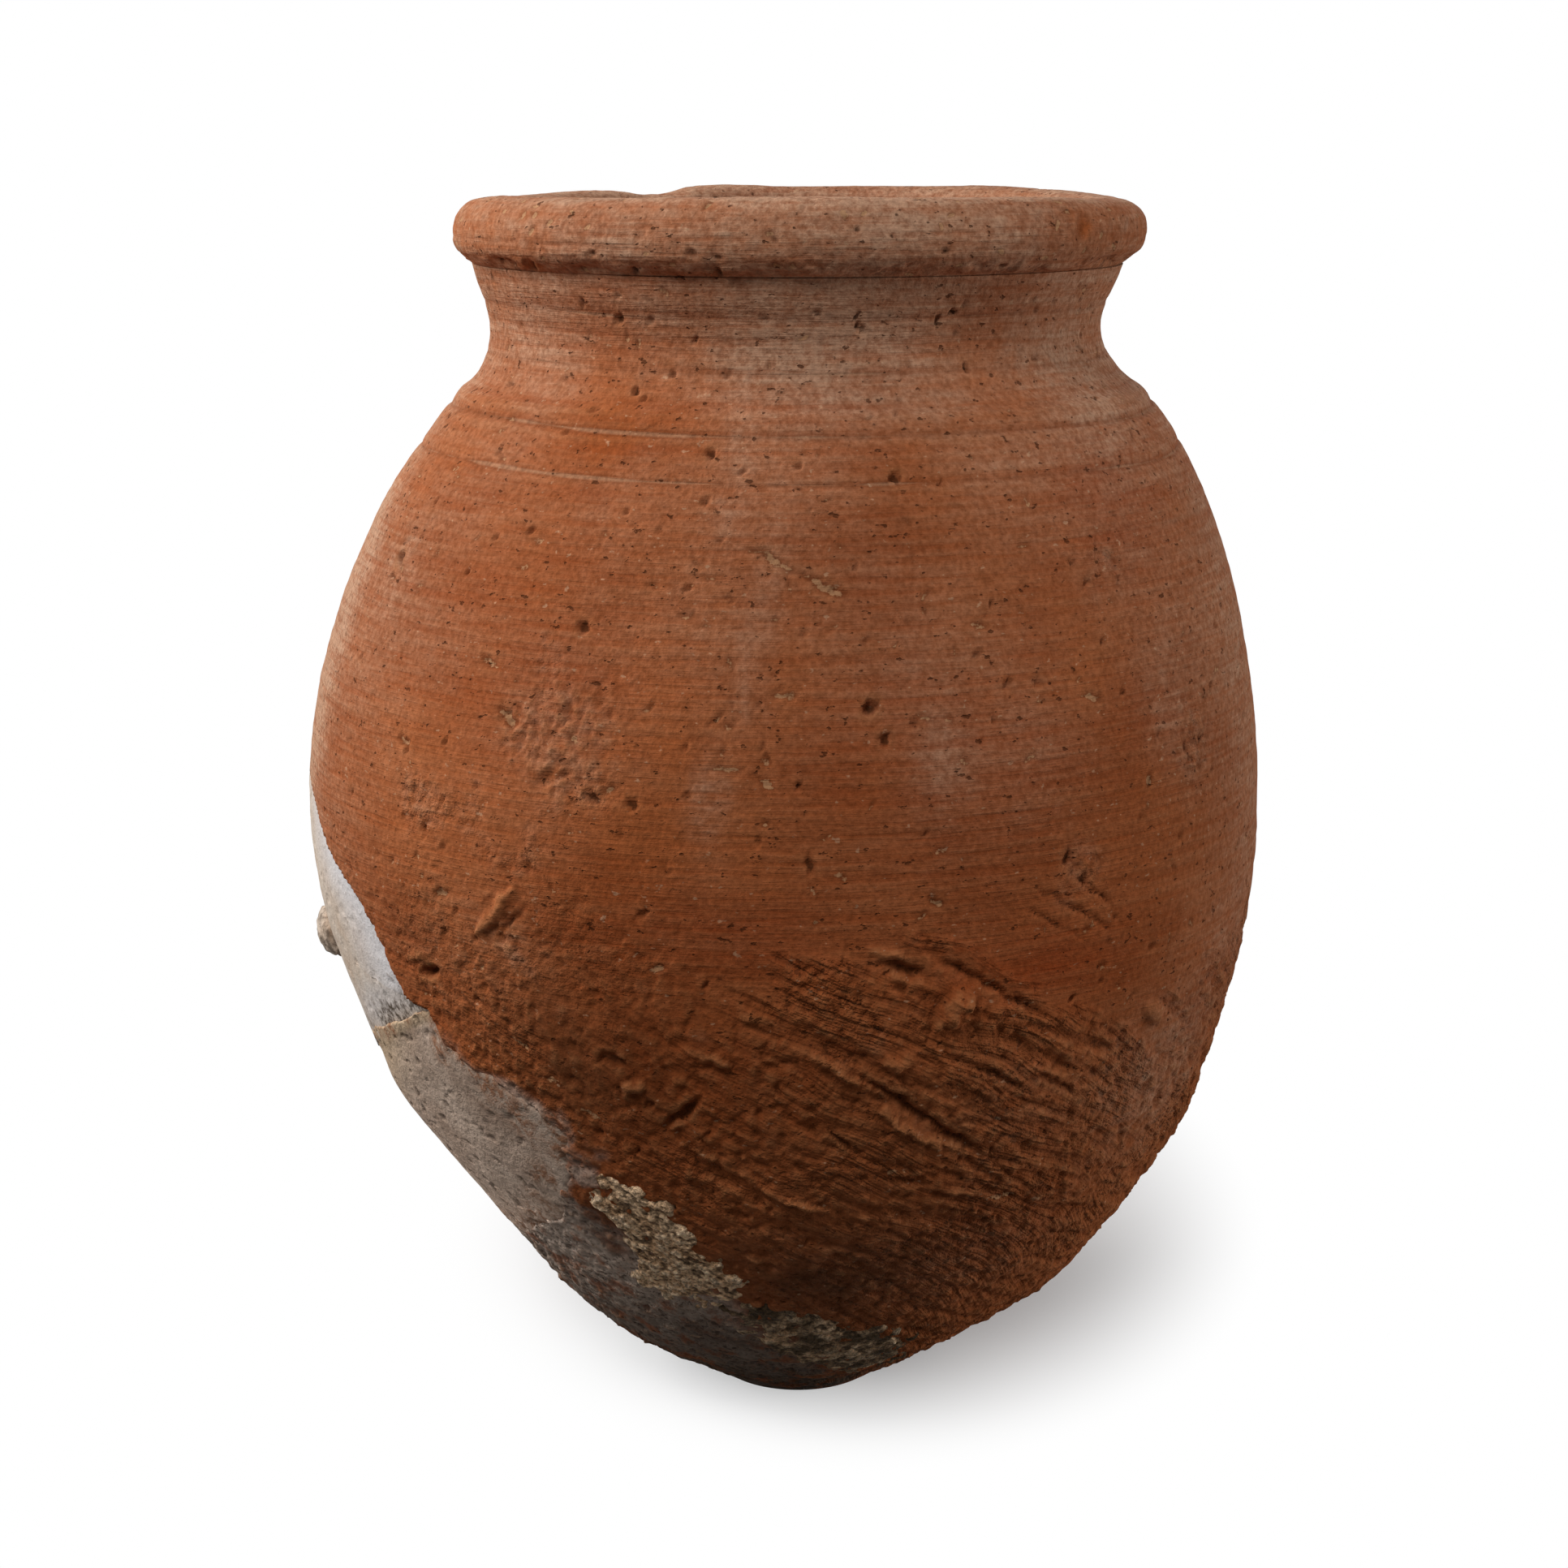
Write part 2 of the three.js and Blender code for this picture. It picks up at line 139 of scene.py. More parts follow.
def clay_noise(theta, height, size, seed, octaves=1, radius=None):
    """Noise over the wall with lumps of the size given in millimetres, halved at each octave.

    Its cells are turned off the jar's axes, so that none of their sides shows as a straight edge.
    """
    radius = wall_radius(height) if radius is None else radius
    x, y, z = np.broadcast_arrays(radius * np.sin(theta), -radius * np.cos(theta), height)
    x, z = 0.8 * x + 0.6 * z, 0.8 * z - 0.6 * x
    y, z = 0.9 * y + 0.44 * z, 0.9 * z - 0.44 * y
    return sum(
        grain(x * 2 ** k / size, y * 2 ** k / size, z * 2 ** k / size, seed + k) / 2 ** k
        for k in range(octaves)
    )


# Marks of the making, each as azimuth, height, length, width, turn from level and depth, in degrees and
# millimetres: pits where grit fell out, straw that burnt out, gouges of the stick, and clay that stuck on.
PITS = [
    (8.9, 157.4, 3.3, 2.8, 30, 1.4), (12.2, 194.3, 3.0, 2.2, 0, 1.2), (-13.1, 197.9, 1.9, 1.7, 0, 0.9),
    (-59.7, 175.9, 3.2, 2.6, 90, 1.3), (-59.9, 172.4, 2.4, 1.9, 0, 0.8), (-25, 169.2, 2.9, 2.1, 10, 0.9),
    (-27.8, 207.7, 2.0, 1.6, 0, 0.8), (2.8, 131.7, 4.0, 2.0, 80, 0.6), (1.4, 144.7, 2.0, 1.7, 0, 0.8),
    (10.6, 152.1, 2.6, 1.9, 20, 0.9), (31.6, 129.5, 4.0, 2.3, 70, 0.8), (33.6, 125.0, 3.0, 2.0, -20, 0.8),
    (30.5, 211.5, 1.8, 1.6, 0, 0.8), (27.4, 221.0, 1.7, 1.6, 60, 0.8), (-31.5, 219.5, 1.7, 1.6, 0, 0.7),
    (8.0, 106.5, 2.2, 1.7, -40, 0.8), (-20.5, 141.5, 3.0, 1.9, -10, 0.8), (-16.5, 141.0, 2.4, 1.7, 20, 0.7),
    (-33.5, 77.5, 3.4, 2.6, 15, 1.2), (74, 105, 7.0, 4.0, 80, 1.0), (-35.6, 70.5, 3.0, 2.4, 20, 1.0),
    (-17.6, 63.2, 4.6, 2.2, -30, 1.2),
]
STRAW = [
    (-2.6, 181.3, 15.0, 1.8, -26, 0.6), (3.6, 177.3, 12.0, 2.2, -29, 0.7), (-32.7, 153.2, 7.0, 2.2, -38, 0.8),
    (-36.6, 162.2, 5.5, 1.8, -14, 0.6), (-40.7, 120.6, 4.8, 2.3, 28, 0.9), (-6.5, 147.4, 7.0, 1.6, -8, 0.4),
    (-2.2, 145.4, 6.0, 1.6, -30, 0.4), (-0.6, 159.5, 5.6, 1.6, -8, 0.5), (36, 156, 5.6, 1.7, -12, 0.5),
    (-24, 151, 4.0, 1.7, -40, 0.7), (-19, 143, 3.4, 1.7, 15, 0.6), (22, 170, 4.0, 1.6, -20, 0.5),
    (16, 124, 4.2, 1.7, -25, 0.6), (-48, 146, 4.6, 1.7, 10, 0.7), (44, 140, 4.4, 1.7, 70, 0.7),
    (-31.5, 94, 6.0, 1.5, -40, 0.2), (-24, 82.2, 8.5, 1.5, -32, 0.2), (-28.5, 88.5, 5.0, 1.5, -15, 0.2),
    (-13.5, 112.5, 5.0, 1.9, 20, 0.4), (28, 63, 10.0, 1.6, -6, 0.3), (12, 72, 7.0, 1.6, -4, 0.3),
]
GOUGES = [
    (14.9, 83.9, 31.0, 1.8, -39, 0.9), (19.3, 77.8, 12.0, 2.0, -26, 0.9), (-44.2, 104.6, 7.6, 2.6, 20, 1.6),
    (-12.6, 84.5, 12.0, 3.0, 42, 1.5), (12.5, 112.5, 12.0, 2.2, -24, 1.1), (33.5, 119, 22.0, 1.3, -34, 0.5),
    (31.5, 121, 26.0, 1.2, -33, 0.4), (36, 121.5, 15.0, 1.2, -36, 0.5), (29.5, 118.5, 18.0, 1.2, -31, 0.4),
    (38, 92, 14.0, 2.6, -18, 1.0), (24, 90, 24.0, 1.7, -31, 0.8), (33, 86, 20.0, 1.8, -27, 0.8),
    (14, 70, 10.0, 1.7, -12, 0.8), (27, 103, 14.0, 1.7, -30, 0.8), (-30.9, 117.4, 13.0, 1.5, 47, 0.7),
    (-20, 94, 7.0, 2.4, -25, 0.9), (6, 79, 10.0, 1.8, -45, 0.8), (20.5, 109.5, 20.0, 1.8, -32, 0.9),
]
STUCK_CLAY = [
    (18.3, 104.2, 10.0, 6.0, 58, 2.3), (12.4, 95.2, 7.0, 3.8, 25, 1.1), (-32.6, 119.2, 15.0, 3.4, 47, 1.1),
    (10.5, 115.5, 7.0, 3.2, -10, 0.9), (-46.5, 106.8, 7.0, 2.6, 20, 0.7),
    (7.0, 92.0, 18.0, 2.0, -36, 0.8), (47, 96, 9.0, 5.0, -30, 0.8), (-9, 96, 10.0, 3.0, -20, 0.8),
    (13.4, 80.8, 18.0, 1.8, -38, 0.9), (-18, 89, 6.0, 3.4, 35, 0.9), (-4, 104, 9.0, 2.0, -8, 0.8),
    (0, 66, 15.0, 1.9, -24, 0.7), (21, 66, 12.0, 1.8, -14, 0.7), (-6, 51, 10.0, 2.0, -22, 0.6),
]

# The stick's main strokes, those of the front in their places, and then three staggered courses that
# carry them on round the right side and the back to the plaster.
SCRAPE_TURN = -31
MAIN_STROKES = [
    (-9, 71, 28, 4.6, -37, 1.1), (0, 58, 27, 4.6, -30, 1.0), (5, 98, 27, 4.6, -26, 1.0),
    (15, 83, 35, 4.6, -39, 1.7), (18, 60, 27, 4.6, -22, 1.0), (20, 110, 28, 4.6, -32, 1.1),
    (29, 93, 28, 4.6, -30, 1.1), (36, 69, 28, 4.6, -28, 1.1), (42, 54, 27, 4.6, -25, 1.0),
    (46, 98, 28, 4.6, -25, 1.1),
]
COURSES_START, COURSES_SWEEP = 62, 168
COURSE_STROKE = (28, 4.6, SCRAPE_TURN, 1.1)
for course, (level, count) in enumerate([(54, 7), (74, 8), (96, 9)]):
    shares = (np.arange(count) + course % 2 / 2) / count
    MAIN_STROKES += [(COURSES_START + COURSES_SWEEP * share, level, *COURSE_STROKE) for share in shares]

# Small marks are seeded: scrapes and crumbs of the stick, chaff, and holes of fine grit.
scatter = np.random.default_rng(41)


def scattered(count, low, high, length, width, depth, turn, spread):
    """Seeded marks all round the wall between two heights, in the form of the lists above."""
    long = scatter.uniform(*length, count)
    return np.column_stack([
        scatter.uniform(-180, 180, count), scatter.uniform(low, high, count), long,
        np.minimum(scatter.uniform(*width, count), long),
        turn + spread * scatter.normal(size=count), scatter.uniform(*depth, count),
    ])


SCRAPES = scattered(1300, 4, 116, (9, 34), (1.3, 2.6), (0.2, 0.6), SCRAPE_TURN, 9)
CRUMBS = scattered(620, 10, 114, (1.4, 3.6), (1.3, 2.2), (0.3, 0.8), SCRAPE_TURN, 30)
CHAFF = scattered(420, 60, 226, (1.8, 4.8), (1.3, 1.6), (0.12, 0.40), 0, 38)
GRIT_HOLES = scattered(620, 8, 226, (1.1, 2.1), (1.0, 1.5), (0.3, 0.8), 0, 45)


def marked(theta, run, radius, marks, warp, form=1.0):
    """Deepest mark at each place of a grid of azimuths and lengths up the surface, and its share.

    The share is a bowl: 1 less the squares of the place along and across the mark, so 1 at its middle
    and 0 along its oval edge. The mark's depth multiplies it, raised to the power form, which below 1
    makes its sides steep. Warp moves the places a little, so that no edge is drawn clean.
    """
    deep = np.zeros((len(run), len(theta)))
    share = np.zeros((len(run), len(theta)))
    for azimuth, level, length, width, turn, depth in marks:
        offset = (theta - math.radians(azimuth) + math.pi) % (2 * math.pi) - math.pi
        rows = np.flatnonzero(np.abs(run - level) < length)
        if len(rows) == 0:
            continue
        columns = np.flatnonzero(np.abs(offset) * radius[rows].min() < length)
        spot = np.ix_(rows, columns)
        sideways = offset[columns] * radius[rows][:, None] + warp[0][spot]
        upwards = (run[rows] - level)[:, None] + warp[1][spot]
        c, s = math.cos(math.radians(turn)), math.sin(math.radians(turn))
        along = (sideways * c + upwards * s) / (length / 2)
        across = (upwards * c - sideways * s) / (width / 2)
        bowl = np.clip(1 - along ** 2 - across ** 2, 0, 1)
        deep[spot] = np.maximum(deep[spot], depth * bowl ** form)
        share[spot] = np.maximum(share[spot], bowl)
    return deep, share


# Height, by azimuth, up to which the stick scraped the leather-hard wall, and a middling radius there.
scraped_height = smooth_curve([
    (-180, 104), (-156, 113), (-132, 103), (-112, 109), (-90, 100), (-60, 92), (-32, 102),
    (-8, 105), (8, 116), (14, 117), (24, 107), (34, 100), (48, 92), (58, 100),
    (75, 106), (98, 95), (118, 107), (140, 97), (162, 109), (180, 104),
])
SCRAPED_RADIUS = 80


def stroke_place(theta, height):
    """Place along and across the stick's strokes, in millimetres.

    It is the unrolled wall turned by the slant of the strokes, wavering a little.
    """
    turn = math.radians(SCRAPE_TURN)
    sideways = theta * SCRAPED_RADIUS
    along = sideways * math.cos(turn) + height * math.sin(turn)
    across = height * math.cos(turn) - sideways * math.sin(turn)
    return along, across + 2.5 * clay_noise(theta, height, 24, 97, 2)


def scraped_share(theta, height):
    """1 where the stick scraped the wall and 0 above a limit torn into fingers along the strokes."""
    degrees = np.degrees(theta)
    along, across = stroke_place(theta, height)
    fingers = 7 * grain(across / 3.2, along / 40, 0 * across, 73) + 3.0 * clay_noise(theta, height, 6, 71, 3)
    width = 4.0 + 8 * step(-95, -70, degrees) * step(2, -14, degrees)
    return step(-1, 1, (scraped_height(degrees) + fingers - height) / width)


def spotted(theta, height, spots):
    """Sum of soft round spots, each its amount times a bell of its half width and half height."""
    total = 0.0
    for azimuth, level, width, tall, amount in spots:
        offset = (theta - math.radians(azimuth) + math.pi) % (2 * math.pi) - math.pi
        sideways = offset * wall_radius(level) / width
        upwards = (height - level) / tall
        total = total + amount * np.exp(-sideways ** 2 - upwards ** 2)
    return total


# Swells and one hollow of the lower wall, as azimuth, height, half width, half height and amount.
HAND_SWELLS = [(88, 58, 30, 11, 2.6), (68, 57, 18, 9, -1.6), (66, 28, 18, 8, 1.4), (-72, 70, 20, 10, 0.8)]


def hand_level(theta, height):
    """Slow unevenness of the hand-built wall in millimetres: wide noise and the swells, 0 at the foot."""
    uneven = 0.40 * clay_noise(theta, height, 42, 3) + 0.20 * clay_noise(theta, height, 17, 4)
    uneven = uneven + spotted(theta, height, HAND_SWELLS)
    return uneven * step(0, 5, height)


# Levels of the lines left by the wheel round the shoulder and neck, with their depths.
WHEEL_LINES = [(NECK_ROOT, 0.35), (193.5, 0.25), (183.0, 0.08), (211.0, 0.15), (220.5, 0.18), (216.5, 0.08)]

# Height, by azimuth, up to which a grey lime film covers the foot of the jar below the plaster.
film_height = smooth_curve([
    (-180, 12), (-130, 24), (-100, 48), (-62, 64), (-40, 64), (-36, 61), (-31, 55), (-27, 49), (-20, 41),
    (-12, 33), (0, 23), (10, 15), (25, 6), (60, 2), (180, 12),
])

# Places where the skin of the clay is worn rough, where it fired redder, where pale dust lies or ran
# down the wall, less than 0 where it is wiped off, and where the clay is darkened, each in the same form.
# Dust levels are the dust at each height, before these.
WORN_SPOTS = [
    (-24, 151, 15, 13, 1.05), (-43, 137, 12, 5, 0.9), (-29, 129, 8, 5, 0.6), (53, 145, 7, 9, 0.8),
    (-30, 114, 10, 6, 0.6), (40, 179, 8, 5, 0.5), (-60, 174, 6, 7, 0.7), (33, 127, 6, 5, 0.8),
    (110, 150, 16, 10, 0.9), (150, 170, 12, 9, 0.8), (-120, 160, 14, 12, 0.9), (-165, 140, 15, 9, 0.8),
]
RUDDY_SPOTS = [
    (30, 111, 20, 8, 0.9), (-4, 119, 22, 9, 0.6), (14, 152, 34, 16, 0.4), (46, 188, 20, 12, 0.6),
    (-30, 158, 16, 14, 0.3), (110, 125, 26, 14, 0.6), (160, 150, 30, 18, 0.5), (-150, 130, 24, 16, 0.6),
]
DUST_LEVELS = [(60, 0.01), (110, 0.01), (150, 0.09), (190, 0.15), (215, 0.33), (229, 0.40)]
DUST_RUNS = [
    (-9, 197, 3.0, 12, 0.20), (-3, 178, 2.5, 10, 0.16), (-8, 142, 3.5, 7, 0.34), (17, 149, 5, 10, 0.26),
    (-60, 174, 5, 9, 0.2), (55, 207, 9, 10, 0.22), (-5, 163, 2.0, 9, 0.16),
    (53, 80, 18, 15, 0.40), (63, 106, 14, 12, 0.14), (-56, 217, 14, 10, 0.16), (-38, 112, 16, 14, 0.08),
    (28, 82, 16, 14, 0.06), (14, 46, 34, 12, 0.14), (4, 216, 16, 10, 0.38), (46, 212, 14, 12, 0.22),
    (-22, 208, 15, 13, -0.14), (72, 146, 16, 40, 0.24), (130, 190, 8, 14, 0.3), (-140, 150, 5, 16, 0.25),
    (170, 205, 10, 12, 0.25), (48, 153, 6, 8, 0.18),
]
# Spots where the lower wall is darkened.
DARKENED_SPOTS = [
    (3, 46, 18, 9, 0.5), (-14, 26, 26, 9, 0.5), (-29, 54, 7, 9, 0.75), (-25, 92, 20, 14, 0.42),
    (12, 76, 20, 14, 0.18), (-44, 112, 12, 10, 0.14),
]


# Break in the left wall, where a piece is lost: its outline across the direction that it faces, as
# sideways offset and height, with the joint between the two batches of plaster that fill it.
BREAK_AZIMUTH = math.radians(-80)
FILL_JOINT = [(-40, 63), (-8, 72), (21.5, 82.5), (38, 90), (50, 95.5)]
UPPER_BREAK = [
    (44.5, 96), (43, 99.5), (40, 108), (35.5, 113), (25, 118.5), (11, 127),
    (-14, 133), (-40, 128), (-62, 116), (-70, 96), (-62, 76),
]
LOWER_BREAK = [
    (-28, 47), (0, 41), (28, 44.5), (49.5, 54.5), (61.5, 67), (65.5, 76), (64, 80.5), (58, 85), (51, 89),
]

# How far the wall's outer face lies in, and its inner face lies out, inside the break.
BREAK_DEPTH, BREAK_LET_OUT = 3.4, 3.0


def inside_break(theta, height):
    """Distance in from the break's edge in millimetres, less than 0 outside it, made ragged by noise.

    It is the gap to the nearest side of the outline, and a place is inside where a level line from it
    crosses the outline an odd number of times.
    """
    sideways = wall_radius(height) * np.sin(theta - BREAK_AZIMUTH)
    outline = np.array(UPPER_BREAK + FILL_JOINT[:1] + LOWER_BREAK + FILL_JOINT[-1:], float)
    nearest = np.full(sideways.shape, np.inf)
    inside = np.zeros(sideways.shape, bool)
    far_outside = -10 * WALL
    for (ax, ay), (bx, by) in zip(outline, np.roll(outline, -1, axis=0)):
        share = (sideways - ax) * (bx - ax) + (height - ay) * (by - ay)
        share = np.clip(share / ((bx - ax) ** 2 + (by - ay) ** 2), 0, 1)
        gap = np.hypot(sideways - ax - share * (bx - ax), height - ay - share * (by - ay))
        nearest = np.minimum(nearest, gap)
        if ay != by:
            crossing = ax + (height - ay) * (bx - ax) / (by - ay)
            inside ^= ((ay > height) != (by > height)) & (sideways < crossing)
    distance = np.where(inside, nearest, -nearest) + 0.6 * clay_noise(theta, height, 4.5, 81, 3)
    return np.where(np.cos(theta - BREAK_AZIMUTH) > 0, distance, far_outside)


def lost_wall(theta, height):
    """1 inside the break and 0 outside it, across an edge about a millimetre wide."""
    return step(-0.6, 0.6, inside_break(theta, height))


def levelled(values, reach=3):
    """Mean of a grid over a few steps each way round each place."""
    window = 2 * reach + 1
    values = sum(np.roll(values, k, axis=1) for k in range(-reach, reach + 1)) / window
    padded = np.pad(values, ((reach, reach), (0, 0)), mode="edge")
    return sum(padded[k:k + len(values)] for k in range(window)) / window


# Relief in millimetres at which painted shade below the mean close by, or painted highlight above it, is
# full.
EDGE_RELIEF = 0.45


def worked_clay(theta, height):
    """Height of the worked clay over the hand-built wall in millimetres, and the shares that colour it.

    Above the scraped limit it is low wheel ridges less the wheel's lines, and below it stick strokes,
    torn crumbs and pocks. Grit holes lie everywhere, chaff only above, and listed marks in their places.
    """
    z = height[:, None]
    degrees = np.degrees(theta)
    run, radius = wall_run(height), wall_radius(height)
    warp = [0.6 * clay_noise(theta, z, 2.2, seed, 2) for seed in (21, 25)]

    # Where the stick took the skin off, and noises of torn, crumbly and pocked clay.
    scraped = scraped_share(theta, z)
    skinned = step(5, -26, z - scraped_height(degrees) + 9 * clay_noise(theta, z, 12, 75, 3))
    grainy = step(-85, -62, degrees) * step(8, -26, degrees)
    torn = clay_noise(theta, z, 5.0, 31, 3)
    crumbly = clay_noise(theta, z, 2.2, 35, 2)
    pocks = step(0.25, 0.75, clay_noise(theta, z, 3.2, 37, 2))
    fine_pocks = step(0.25, 0.70, clay_noise(theta, z, 1.8, 39, 2))
    crisp = clay_noise(theta, z, 1.5, 43, 2)
    sandy = step(-75, -58, degrees) * step(4, -14, degrees) * step(136, 108, z + 6 * torn)
    uneven = 0.35 + 0.65 * step(-0.35, 0.45, clay_noise(theta, z, 14, 45, 3))

    def slanted(marks, form=1.0):
        """Marks of the wall, with their heights first turned into lengths up its slant."""
        marks = np.array(marks, float)
        marks[:, 1] = wall_run(marks[:, 1])
        return marked(theta, run, radius, marks, warp, form)

    # Scraped clay: strokes of the stick, pocks and crumbs.
    strokes = slanted(SCRAPES)[0] * (1 - 0.7 * grainy)
    strokes = np.maximum(strokes, 0.75 * slanted(MAIN_STROKES)[0])
    rough = 0.15 - strokes + 0.12 * torn + 0.20 * crumbly - 0.35 * pocks - 0.30 * fine_pocks
    rough = rough + 0.6 * slanted(CRUMBS)[0]

    # Smoothed clay: ridges and lines of the wheel, a lip above the neck's root, sandy and worn places.
    drift = 0.5 * grain(2 * np.sin(theta), 2 * np.cos(theta), 0 * theta, 11)
    wheel = 0.09 * grain(z / 2.6, 0.5 * np.cos(theta), 0.5 * np.sin(theta), 5)
    wheel = wheel + 0.05 * grain(z / 1.4, np.cos(theta), np.sin(theta), 6)
    for level, depth in WHEEL_LINES:
        wheel = wheel - depth * np.exp(-((z - drift - level) / 0.6) ** 2)
    wheel = wheel + 0.35 * np.exp(-((z - NECK_ROOT - 2.4) / 1.2) ** 2)
    worn = step(0.15, 0.95, spotted(theta, z, WORN_SPOTS) + 0.35 * clay_noise(theta, z, 6, 51, 4))
    smooth = wheel * (1 - 0.6 * sandy) + sandy * (0.14 * crumbly + 0.10 * torn - 0.30 * fine_pocks)
    smooth = smooth - worn * (0.12 + 0.30 * fine_pocks - 0.12 * crumbly - 0.26 * crisp)

    # Marks, then the whole relief, and how far it stands out from its mean close by.
    pits, pit = slanted(PITS, 0.5)
    stems, straw = slanted(STRAW)
    holes, hole = slanted(GRIT_HOLES, 0.5)
    flecks, chaff = slanted(CHAFF)
    gouges, gouge = slanted(GOUGES)
    stuck = slanted(STUCK_CLAY, 0.7)[0]
    smoothed = 1 - scraped
    sunk = np.maximum(np.maximum(pits, stems), np.maximum(holes, smoothed * flecks))
    ragged = 1 + 0.4 * torn + 0.25 * crumbly
    detail = smooth + scraped * (rough - smooth) + ragged * (stuck - gouges) - sunk
    detail = detail * step(0.5, 5, z)
    edges = detail - levelled(detail)

    # Dust, lime film and darkened spots.
    veil = clay_noise(theta, z, 30, 93, 3)
    side = step(-10, 40, degrees) * step(110, 70, degrees) + 0.5 * step(-62, -88, degrees)
    pale_edge = step(-64, -80, degrees) * step(-130, -100, degrees) * step(112, 140, z) * step(200, 170, z)
    dust = np.interp(z, *np.array(DUST_LEVELS).T) * (1 + 0.9 * veil)
    dust = dust + 0.05 * side * step(186, 206, z) + 0.12 * worn * (1 + crumbly)
    dust = dust + 0.18 * step(38, 80, np.abs(degrees)) * step(70, 115, z)
    dust = dust + pale_edge + spotted(theta, z, DUST_RUNS) * (1 + 0.5 * crumbly)
    film = step(8, -4, z - film_height(degrees) + 7 * clay_noise(theta, z, 9, 95, 4))
    smeared = step(-4, 0.5, inside_break(theta, z) + 3 * clay_noise(theta, z, 5, 96, 3)) * step(94, 80, z)
    film = np.maximum(film, 0.75 * smeared)
    darkened = spotted(theta, z, DARKENED_SPOTS) * (1 + 0.5 * torn)

    # Lines scored by the stick. They fade out behind the jar, where their place along the stroke jumps.
    along, across = stroke_place(theta, z)
    unjumped = step(0.0, 0.2, math.pi - np.abs(theta))
    combed = uneven * scraped * (1 - 0.6 * grainy) * (1 - 0.4 * step(25, 45, degrees)) * unjumped
    coarse = np.maximum.reduce([(1 - 0.3 * grainy) * scraped, 0.55 * sandy + 0 * z, 0.8 * worn])
    shares = {
        "skinned": skinned,
        "coarse": uneven * coarse,
        "turned": smoothed,
        "combed": combed,
        # Hollows of pits, gouges, grit holes and worn pocks are darkened, partly dirt and partly painted
        # shade.
        "hollow_dirt_and_shade": np.maximum.reduce([pit, 0.75 * gouge, 0.6 * hole, 0.45 * worn * fine_pocks]),
        # Crevices below the mean close by take painted shade, and proud places above it a painted highlight.
        "crevice_shade": np.clip(-edges / EDGE_RELIEF, 0, 1),
        "proud_highlight": np.clip(edges / EDGE_RELIEF, 0, 1),
        "straw": np.maximum(straw, 0.75 * smoothed * chaff),
        "dust": np.clip(dust, 0, 1),
        "film": film,
        "darkened": np.clip(darkened, 0, 1),
        "ruddy": np.clip(spotted(theta, z, RUDDY_SPOTS) * (1 + 0.4 * veil), 0, 1),
        "drift": drift + 0 * z,
        "stroke": np.stack(np.broadcast_arrays(along, across, 0 * z), -1),
    }
    return detail, {k: np.broadcast_to(v, detail.shape + v.shape[2:]) for k, v in shares.items()}


def linear(code):
    """Linear colour with alpha 1 from an sRGB hex code."""
    srgb = np.array([int(code[i:i + 2], 16) for i in (1, 3, 5)]) / 255
    line = np.where(srgb <= 0.04045, srgb / 12.92, ((srgb + 0.055) / 1.055) ** 2.4)
    return (*line.tolist(), 1.0)


def add(tree, kind, sockets=(), out=0, **settings):
    """Adds one node with its settings and links, and gives back one of its outputs.

    Sockets are the inputs in use, in order or by name, each as a value or the output that feeds it.
    """
    made = tree.nodes.new(kind)
    for key, value in settings.items():
        setattr(made, key, value)
    in_use = [socket for socket in made.inputs if socket.enabled]
    for key, value in sockets.items() if isinstance(sockets, dict) else enumerate(sockets):
        socket = made.inputs[key] if isinstance(key, str) else in_use[key]
        if isinstance(value, bpy.types.NodeSocket):
            tree.links.new(value, socket)
        else:
            socket.default_value = value
    outputs = [socket for socket in made.outputs if socket.enabled]
    return made.outputs[out] if isinstance(out, str) else outputs[out] if outputs else made


def bare_tree(owner):
    """Node tree of a new material or world, with nothing in it."""
    owner.use_nodes = True
    owner.node_tree.nodes.clear()
    return owner.node_tree


NOISE, RANGE, MATH = "ShaderNodeTexNoise", "ShaderNodeMapRange", "ShaderNodeMath"
MIX, SHARE = "ShaderNodeMix", "ShaderNodeAttribute"

# Chaff-tempered terracotta, wheel-smoothed and scraped, unglazed: a dull orange-brown earth with
# fine level streaks, dark pores, pale grit and straw, under a pale tan veil of dust, with painted shade
# in its pits, pores, furrows and crevices and painted highlight on its ridges and grains.
terracotta = bpy.data.materials.new("chaff_tempered_terracotta")
tree = bare_tree(terracotta)
place = add(tree, "ShaderNodeTexCoord", out="Object")
skinned, coarse, turned, combed, hollow_dirt_and_shade, crevice_shade, proud_highlight, straw, dust, film, darkened, ruddy, drift = (
    add(tree, SHARE, out="Fac", attribute_name=label) for label in (
        "skinned", "coarse", "turned", "combed", "hollow_dirt_and_shade", "crevice_shade", "proud_highlight",
        "straw", "dust", "film", "darkened", "ruddy", "drift",
    )
)
stroke = add(tree, SHARE, out="Vector", attribute_name="stroke")
patches = add(tree, NOISE, {"Vector": place, "Scale": 1000 / 38, "Detail": 4.0})
mottle = add(tree, NOISE, {"Vector": place, "Scale": 1000 / 6, "Detail": 5.0, "Roughness": 0.65})
mottle = add(tree, RANGE, [mottle, 0.34, 0.68])
grit = add(tree, NOISE, {"Vector": place, "Scale": 1000 / 1.0, "Detail": 2.0, "Roughness": 0.6})
level_place = add(tree, "ShaderNodeMapping", {"Vector": place, "Scale": (0.05, 0.05, 1.0)})
wheel = add(tree, NOISE, {"Vector": level_place, "Scale": 1000 / 1.2, "Detail": 4.0, "Roughness": 0.65})
wheel = add(tree, RANGE, [wheel, 0.36, 0.66])

